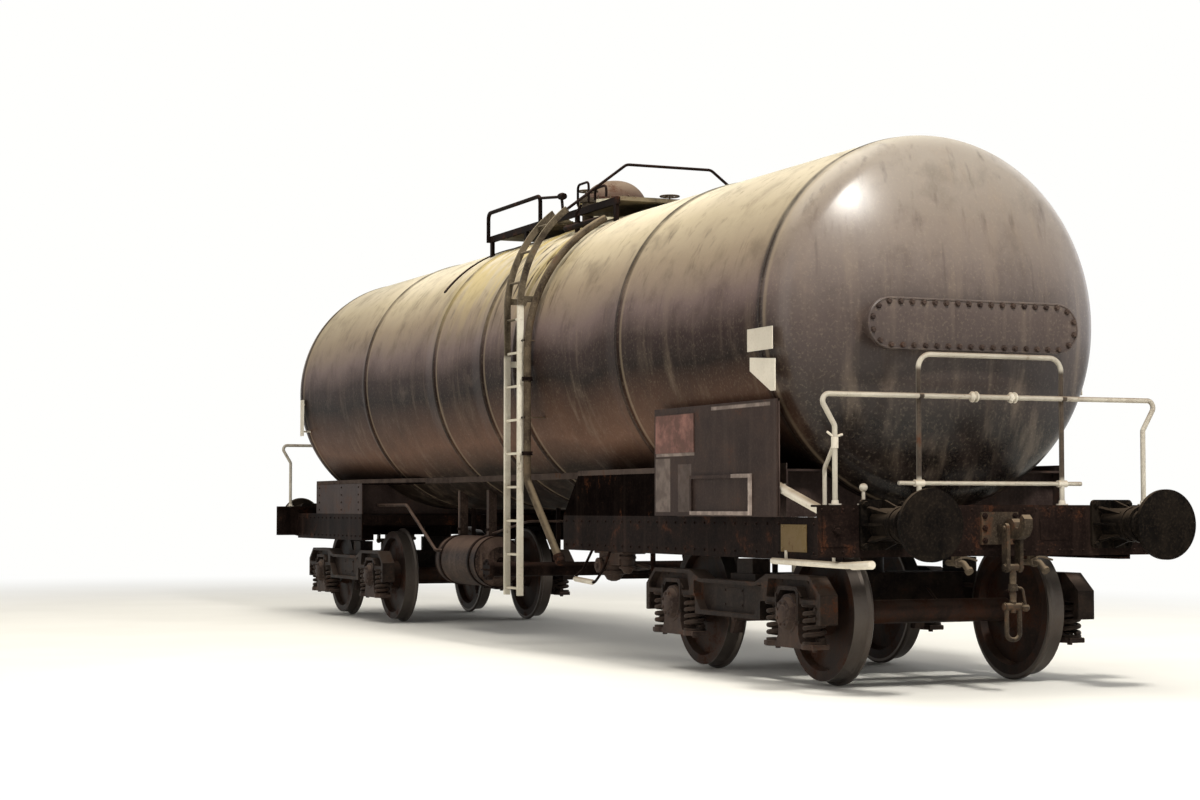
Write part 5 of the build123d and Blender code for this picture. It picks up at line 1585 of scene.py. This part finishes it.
@dataclass
class BogieTrim:
    """The small parts of a bogie: covers' bolts, inner coils, rivets, liners and brake pins.

    Attributes:
        axles: X of the two axles at end A.
        side_y: distance of the side frames' middle from the wagon's middle.
        face_y: distance of their outer faces.
        offset: distance of each spring from its axle.
        cover: profile of an axlebox's cover.
        collar: profile of a spring's upper collar.
        arch: places of the rivets over a window, from the axle and in height.
        beam: distance of a brake beam from its axle.
        strap_y: distance of the safety straps from the middle.
    """

    axles: tuple = (PIVOT_X - HALF_BASE, PIVOT_X + HALF_BASE)
    side_y: float = 1.0
    face_y: float = 1.065
    offset: float = 0.255
    cover: tuple = ((-0.004, 0.097), (0.004, 0.097), (0.007, 0.092), (0.007, 0.060), (0.012, 0.055),
                    (0.016, 0.030), (0.017, 0))
    collar: tuple = ((0, 0.060), (0, 0.086), (0.012, 0.086), (0.018, 0.070), (0.018, 0.060))
    arch: tuple = ((-0.30, 0.668), (-0.18, 0.700), (-0.06, 0.716), (0.06, 0.716), (0.18, 0.700),
                   (0.30, 0.668))
    beam: float = 0.546
    strap_y: float = 0.45

    def build(self) -> None:
        """Builds the trim of both bogies."""
        for stem, parts, finish in (
            ("axlebox_trim", self._axleboxes(), IRON), ("inner_springs", self._inner_coils(), SPRING),
            ("side_frame_trim", self._side_frames(), BOGIE), ("brake_trim", self._brakes(), IRON),
        ):
            at_both_ends(stem, mirrored(merge(parts)), finish, "bogie_{}")

    def _axleboxes(self) -> Iterable[Surface]:
        """Covers with a rim, a ring of bolts and a round cap, a clamp band and the seats' nuts.

        Returns:
            The parts on the front side, one by one.
        """
        both = np.array([-1, 1])
        for x in self.axles:
            yield turned(self.cover, (x, -1.095, AXLE_Z), OUT, 36)
            yield bolts(circle((x, -1.101, AXLE_Z), ACROSS, 0.077, 8, 0.39), OUT, 0.010, 0.011)
            yield turned(hoop(0, 0.020, 0.128, 0.135), (x, -1.020, AXLE_Z), OUT, 40)
            ears = lattice(x + both * 0.118, (-self.face_y,), AXLE_Z + both * 0.060)
            yield bolts(ears, OUT, 0.012, 0.012)
            yield bolts(lattice(x + both * self.offset, (-self.side_y,), (0.2635,)), DOWN, 0.020, 0.018)
            yield rivets(lattice(x + both * 0.305, (-self.side_y - 0.0605,), (0.280,)), OUT, 0.010)

    def _inner_coils(self) -> Iterable[Surface]:
        """A finer coil inside each spring: (r cos 2 pi n s, r sin 2 pi n s) rising with s.

        Returns:
            The coils on the front side, one by one.
        """
        s = np.linspace(0.0, 1.0, 150)
        turn = TAU * 6.5 * s
        coil = np.stack([0.036 * np.cos(turn), 0.036 * np.sin(turn), 0.322 + s * 0.212], axis=1)
        for x in self.axles:
            for lean in (self.offset, -self.offset):
                yield tube(coil + (x + lean, -self.side_y, 0.0), 0.0085, 6)

    def _side_frames(self) -> Iterable[Surface]:
        """Rivets over the windows, horn liners, springs' collars, a bar on the arch and end bolts.

        Returns:
            The parts on the front side, one by one.
        """
        y = -self.face_y
        for x in self.axles:
            yield rivets([(x + along, y + 0.060, z) for along, z in self.arch], OUT, 0.011)
            liners = lattice((x - 0.1515, x + 0.1515), (y - 0.002,), (0.535,))
            yield boxes(liners, (0.020, 0.012, 0.175), 0.002)
            for lean in (-self.offset, self.offset):
                yield turned(self.collar, (x + lean, -self.side_y, 0.558), DOWN, 24)
            bar_y = y + 0.010
            yield rod([(x - 0.175, bar_y, 0.600), (x - 0.115, bar_y, 0.660), (x + 0.115, bar_y, 0.660),
                       (x + 0.175, bar_y, 0.600)], 0.05, 0.012)
        yield boxes((PIVOT_X, y + 0.0625, 0.560), (0.30, 0.009, 0.14), 0.002)
        yield rivets(lattice((PIVOT_X - 0.13, PIVOT_X + 0.13), (y + 0.058,), (0.51, 0.61)), OUT, 0.010)
        yield bolts(lattice((PIVOT_X - 1.29, PIVOT_X + 1.29), (y,), (0.47, 0.53)), OUT, 0.013, 0.013)

    def _brakes(self) -> Iterable[Surface]:
        """Hanger pins, shoe keys and safety straps on the brake beams.

        Returns:
            The parts on the front side, one by one.
        """
        for way, axle in zip((-1, 1), self.axles):
            x, y = axle - way * self.beam, -self.strap_y
            yield bolts(lattice((x,), (-0.774,), (0.408, 0.633)), OUT, 0.020, 0.020, 12)
            yield bolts(lattice((x,), (-0.746,), (0.408, 0.633)), ACROSS, 0.018, 0.014, 12)
            yield bolts((x, -0.820, 0.408), OUT, 0.034, 0.020)
            yield boxes((axle - way * 0.520, -0.76, 0.448), (0.014, 0.030, 0.20), 0.003)
            yield rod([(x, y, 0.442), (x + way * 0.02, y, 0.50), (x - way * 0.16, y, 0.62),
                       (PIVOT_X + way * 0.188, y, 0.62)], 0.04, 0.011)


@dataclass
class UnderTank:
    """Straps, rims, bolts and a drain cock on the gear under the tank.

    Attributes:
        reservoir: X of both ends, Y, Z and radius of the air reservoir.
        straps: X of its two straps.
        drain: profile of its drain cock.
        nozzle: profile of the nozzle on its end.
        cylinder: X, Y, Z and radius of the brake cylinder.
        outlet: X, Z and reach of the cross pipe.
        sill_z: height of the long sill's bottom.
        block_y: Y of the brake's valve block.
        body: profile of the block's larger body.
        port: profile of its port.
    """

    reservoir: tuple = (-2.28, -1.0, -0.62, 0.683, 0.24)
    straps: tuple = (-2.06, -1.26)
    drain: tuple = ((0, 0), (0, 0.020), (0.05, 0.020), (0.05, 0.012), (0.085, 0.012), (0.085, 0))
    nozzle: tuple = ((0, 0), (0, 0.045), (0.014, 0.045), (0.014, 0.028), (0.030, 0.028), (0.030, 0))
    cylinder: tuple = (1.10, 0.42, 0.788, 0.150)
    outlet: tuple = (0.23, 0.648, 1.23)
    sill_z: float = 0.848
    block_y: float = -0.93
    body: tuple = (
        (0, 0), (0, 0.088), (0.030, 0.088), (0.034, 0.112), (0.060, 0.112), (0.064, 0.090), (0.140, 0.086),
        (0.144, 0.108), (0.166, 0.108), (0.176, 0.078), (0.214, 0.052), (0.226, 0.022), (0.226, 0))
    port: tuple = ((0, 0), (0, 0.046), (0.115, 0.046), (0.118, 0.060), (0.140, 0.060), (0.144, 0.030),
                   (0.160, 0.026), (0.160, 0))

    def build(self) -> None:
        """Builds the trim of the reservoir, the brake cylinder, the valve block and the outlet."""
        make_piece("reservoir_trim", merge(self._reservoir()), FRAME)
        x, y, z, r = self.cylinder
        rim = [(-0.004, r - 0.03), (-0.012, r + 0.006), (0.016, r + 0.012), (0.016, r - 0.004)]
        make_piece("cylinder_trim", merge([
            turned(rim, (x, y, z), ALONG, 40),
            bolts(circle((x - 0.004, y, z), ALONG, r - 0.022, 10), BACK, 0.011, 0.014),
        ]), FRAME)
        make_piece("brake_distributor", merge(self._distributor()), IRON, slot="frame_paint")
        make_piece("outlet_trim", merge(self._outlet()), FRAME)

    def _reservoir(self) -> Iterable[Surface]:
        """The reservoir's straps with their bolts, its seams, drain cock and end nozzle.

        Returns:
            The parts, one by one.
        """
        left, right, y, z, r = self.reservoir
        strap = [(-0.030, r - 0.004), (-0.030, r + 0.006), (-0.024, r + 0.009), (0.024, r + 0.009),
                 (0.030, r + 0.006), (0.030, r - 0.004)]
        for x in self.straps:
            yield turned(strap, (x, y, z), ALONG, 48)
            yield bolts(lattice((x - 0.018, x + 0.018), (y - 0.040,), (z + r + 0.06,)), OUT, 0.012, 0.012)
        for x in (left + 0.09, right - 0.09):
            yield turned(hoop(-0.008, 0.008, r - 0.004, r + 0.003), (x, y, z), ALONG, 48)
        yield turned(self.drain, (-1.66, y, z - r + 0.006), DOWN, 14)
        yield turned(self.nozzle, (right - 0.016, y, z), ALONG, 24)

    def _outlet(self) -> Iterable[Surface]:
        """Bolts and a grip on each cover of the cross pipe, and the hoop on the bottom outlet.

        Returns:
            The parts, one by one.
        """
        x, z, reach = self.outlet
        for side in (-1, 1):
            near, far, half = side * reach, side * (reach + 0.035), 0.04
            yield bolts(circle((x, side * (reach - 0.001), z), ACROSS, 0.074, 8), (0, side, 0), 0.010, 0.012)
            yield rod([(x - half, near, z), (x - half, far, z), (x + half, far, z), (x + half, near, z)],
                      0.015, 0.007)
        yield turned(hoop(0, 0.016, 0.080, 0.105), (x, 0, 0.96), UP, 28)

    def _distributor(self) -> Iterable[Surface]:
        """The brake's valve block: bracket, two flanged bodies, a port, a joining pipe and bolts.

        Returns:
            The parts, one by one.
        """
        top, y, x, small_x = self.sill_z, self.block_y, 2.33, 2.60
        yield boxes((2.45, y, top - 0.010), (0.56, 0.20, 0.020), 0.006)
        yield boxes((2.40, y, top - 0.06), (0.40, 0.14, 0.10), 0.006)
        yield turned(self.body, (x, y, top - 0.015), DOWN, 28)
        yield turned(np.array(self.body) * (0.72, 0.62), (small_x, y, top - 0.015), DOWN, 24)
        yield turned(self.port, (x, y, 0.735), OUT, 20)
        yield rod([(x, y + 0.05, 0.72), (x, y + 0.20, 0.70), (small_x, y + 0.20, 0.72),
                   (small_x, y + 0.03, 0.76)], 0.05, 0.017, 10)
        yield bolts(circle((x, y, top - 0.079), UP, 0.100, 6), DOWN, 0.010, 0.012)


# ---- camera, light and stage


@dataclass
class Studio:
    """The camera at the photograph's place, soft lights, floor and backdrop.

    Attributes:
        position: the camera's place in the row frame.
        yaw: the angle of its view from the wagon's length, in radians.
        pitch: the angle of its view above level, in radians.
        lens: its focal length on a 36 mm frame.
        white: the colour of the air behind the wagon.
        lamps: name, place, aim, size, watts and colour of each square light: a high one off
            the near end, one overhead, a fill and a low rear one.
        floor_half: half the floor's side.
    """

    position: tuple = (18.623, -8.092, 1.188)
    yaw: float = 0.408
    pitch: float = 0.0485
    lens: float = 66.79
    white: tuple = (1.0, 1.0, 0.985, 1.0)
    lamps: tuple = (
        ("key", (15.5, -1.2, 12.4), (5.0, -0.5, 2.6), 1.9, 2000.0, (1.0, 0.97, 0.91)),
        ("overhead", (-1.0, -3.0, 16.0), (0.0, 0.0, 2.0), 13.0, 2200.0, (1.0, 0.97, 0.90)),
        ("fill", (12.0, -16.0, 6.0), (1.0, 0.0, 1.5), 11.0, 480.0, (1.0, 0.97, 0.94)),
        ("rear", (2.0, 14.0, 8.0), (0.0, 0.0, 2.0), 12.0, 600.0, (0.95, 0.97, 1.0)),
    )
    floor_half: float = 150.0

    def build(self) -> None:
        """Builds the camera, the lights, the backdrop and the floor."""
        self._camera()
        for lamp in self.lamps:
            self._lamp(*lamp)
        self._backdrop()
        self._floor()
        LOG.info("studio: camera, %d lamps, backdrop and floor", len(self.lamps))

    @staticmethod
    def _put(name: str, data: bpy.types.ID, place: Point, look: Vector) -> bpy.types.Object:
        """Puts a camera or a lamp at a place.

        Args:
            name: its name.
            data: the camera or the lamp.
            place: where it stands.
            look: the direction it looks in.

        Returns:
            Its object.
        """
        obj = bpy.data.objects.new(name, data)
        bpy.context.scene.collection.objects.link(obj)
        obj.location = place
        obj.rotation_euler = look.to_track_quat("-Z", "Y").to_euler()
        return obj

    def _camera(self) -> None:
        """Makes the camera and gives it to the scene."""
        data = bpy.data.cameras.new("photo_camera")
        data.sensor_fit = "HORIZONTAL"
        data.sensor_width = 36.0
        data.lens = self.lens
        data.clip_end = 400.0
        level = math.cos(self.pitch)
        look = Vector((-math.cos(self.yaw) * level, math.sin(self.yaw) * level, math.sin(self.pitch)))
        bpy.context.scene.camera = self._put("photo_camera", data, self.position, look)

    def _lamp(self, name: str, place: Point, aim: Point, size: float, watts: float, colour: Point) -> None:
        """Makes one square area light.

        Args:
            name: its name.
            place: where it stands.
            aim: what it points at.
            size: its side.
            watts: its power.
            colour: its colour.
        """
        data = bpy.data.lights.new(name, "AREA")
        data.shape, data.size, data.energy, data.color = "SQUARE", size, watts, colour
        self._put(name, data, place, Vector(aim) - Vector(place))

    def _backdrop(self) -> None:
        """Makes the world: white where the backdrop itself is seen, a dim warm light elsewhere."""
        world = bpy.data.worlds.new("pale_world")
        bpy.context.scene.world = world
        world.use_nodes = True
        world.node_tree.nodes.clear()
        s = Sketch(world.node_tree)
        seen = s.add("ShaderNodeBackground", {"Color": self.white, "Strength": 1.0})
        lit = s.add("ShaderNodeBackground", {"Color": (1.0, 0.98, 0.95, 1.0), "Strength": 0.30})
        mix = s.add("ShaderNodeMixShader", {0: self._seen_rays(s), 1: lit.outputs[0], 2: seen.outputs[0]})
        s.add("ShaderNodeOutputWorld", {"Surface": mix.outputs[0]})

    @staticmethod
    def _seen_rays(s: Sketch) -> Socket:
        """A mask of the rays that show the backdrop itself, not its light on the wagon."""
        ray = s.add("ShaderNodeLightPath").outputs
        return s.most(s.most(ray["Is Camera Ray"], ray["Is Glossy Ray"]), ray["Is Transmission Ray"])

    def _floor(self) -> None:
        """Makes the pale floor under the wheels, which fades into the white behind it.

        The share of plain white that is seen grows with the distance from the wagon's
        middle, sqrt((x / 11)^2 + (y / 7)^2), so shadows stay near it and no horizon shows.
        """
        material, s, shader, out = new_material("pale_floor")
        place = s.place()
        mottle = s.span(s.noise(place, 0.6, 2.0), 0.3, 0.7)
        tone = s.blend(mottle, (0.84, 0.82, 0.76, 1.0), (0.88, 0.86, 0.80, 1.0))
        s.feed(shader, {"Base Color": tone, "Roughness": 0.9})
        squashed = s.stretched(place, (1 / 11.0, 1 / 7.0, 1.0))
        distance = s.add("ShaderNodeVectorMath", {0: squashed}, operation="LENGTH")
        far = s.span(distance.outputs["Value"], 0.7, 1.9)
        glow = s.add("ShaderNodeEmission", {"Color": self.white, "Strength": 1.0})
        mask = s.times(far, self._seen_rays(s))
        mix = s.add("ShaderNodeMixShader", {0: mask, 1: shader.outputs["BSDF"], 2: glow.outputs[0]})
        s.feed(out, {"Surface": mix.outputs[0]})
        mesh = bpy.data.meshes.new("floor")
        half = self.floor_half
        corners = [(-half, -half, 0), (half, -half, 0), (half, half, 0), (-half, half, 0)]
        mesh.from_pydata(corners, [], [(0, 1, 2, 3)])
        mesh.materials.append(material)
        obj = bpy.data.objects.new("floor", mesh)
        bpy.context.scene.collection.objects.link(obj)


def main() -> None:
    """Builds the wagon's looks piece by piece."""
    logging.basicConfig(level=logging.INFO, format="%(name)s: %(message)s")
    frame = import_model()
    bpy.context.scene.view_settings.view_transform = "Standard"
    dress_cad(frame)
    for assembly in (
        TankShell(), HeadCoverTrim(), ManholeTrim(), TopGear(), LadderTrim(), SideGear(), EndGear(),
        BogieTrim(), UnderTank(), Studio(),
    ):
        assembly.build()


if __name__ == "__main__":
    main()
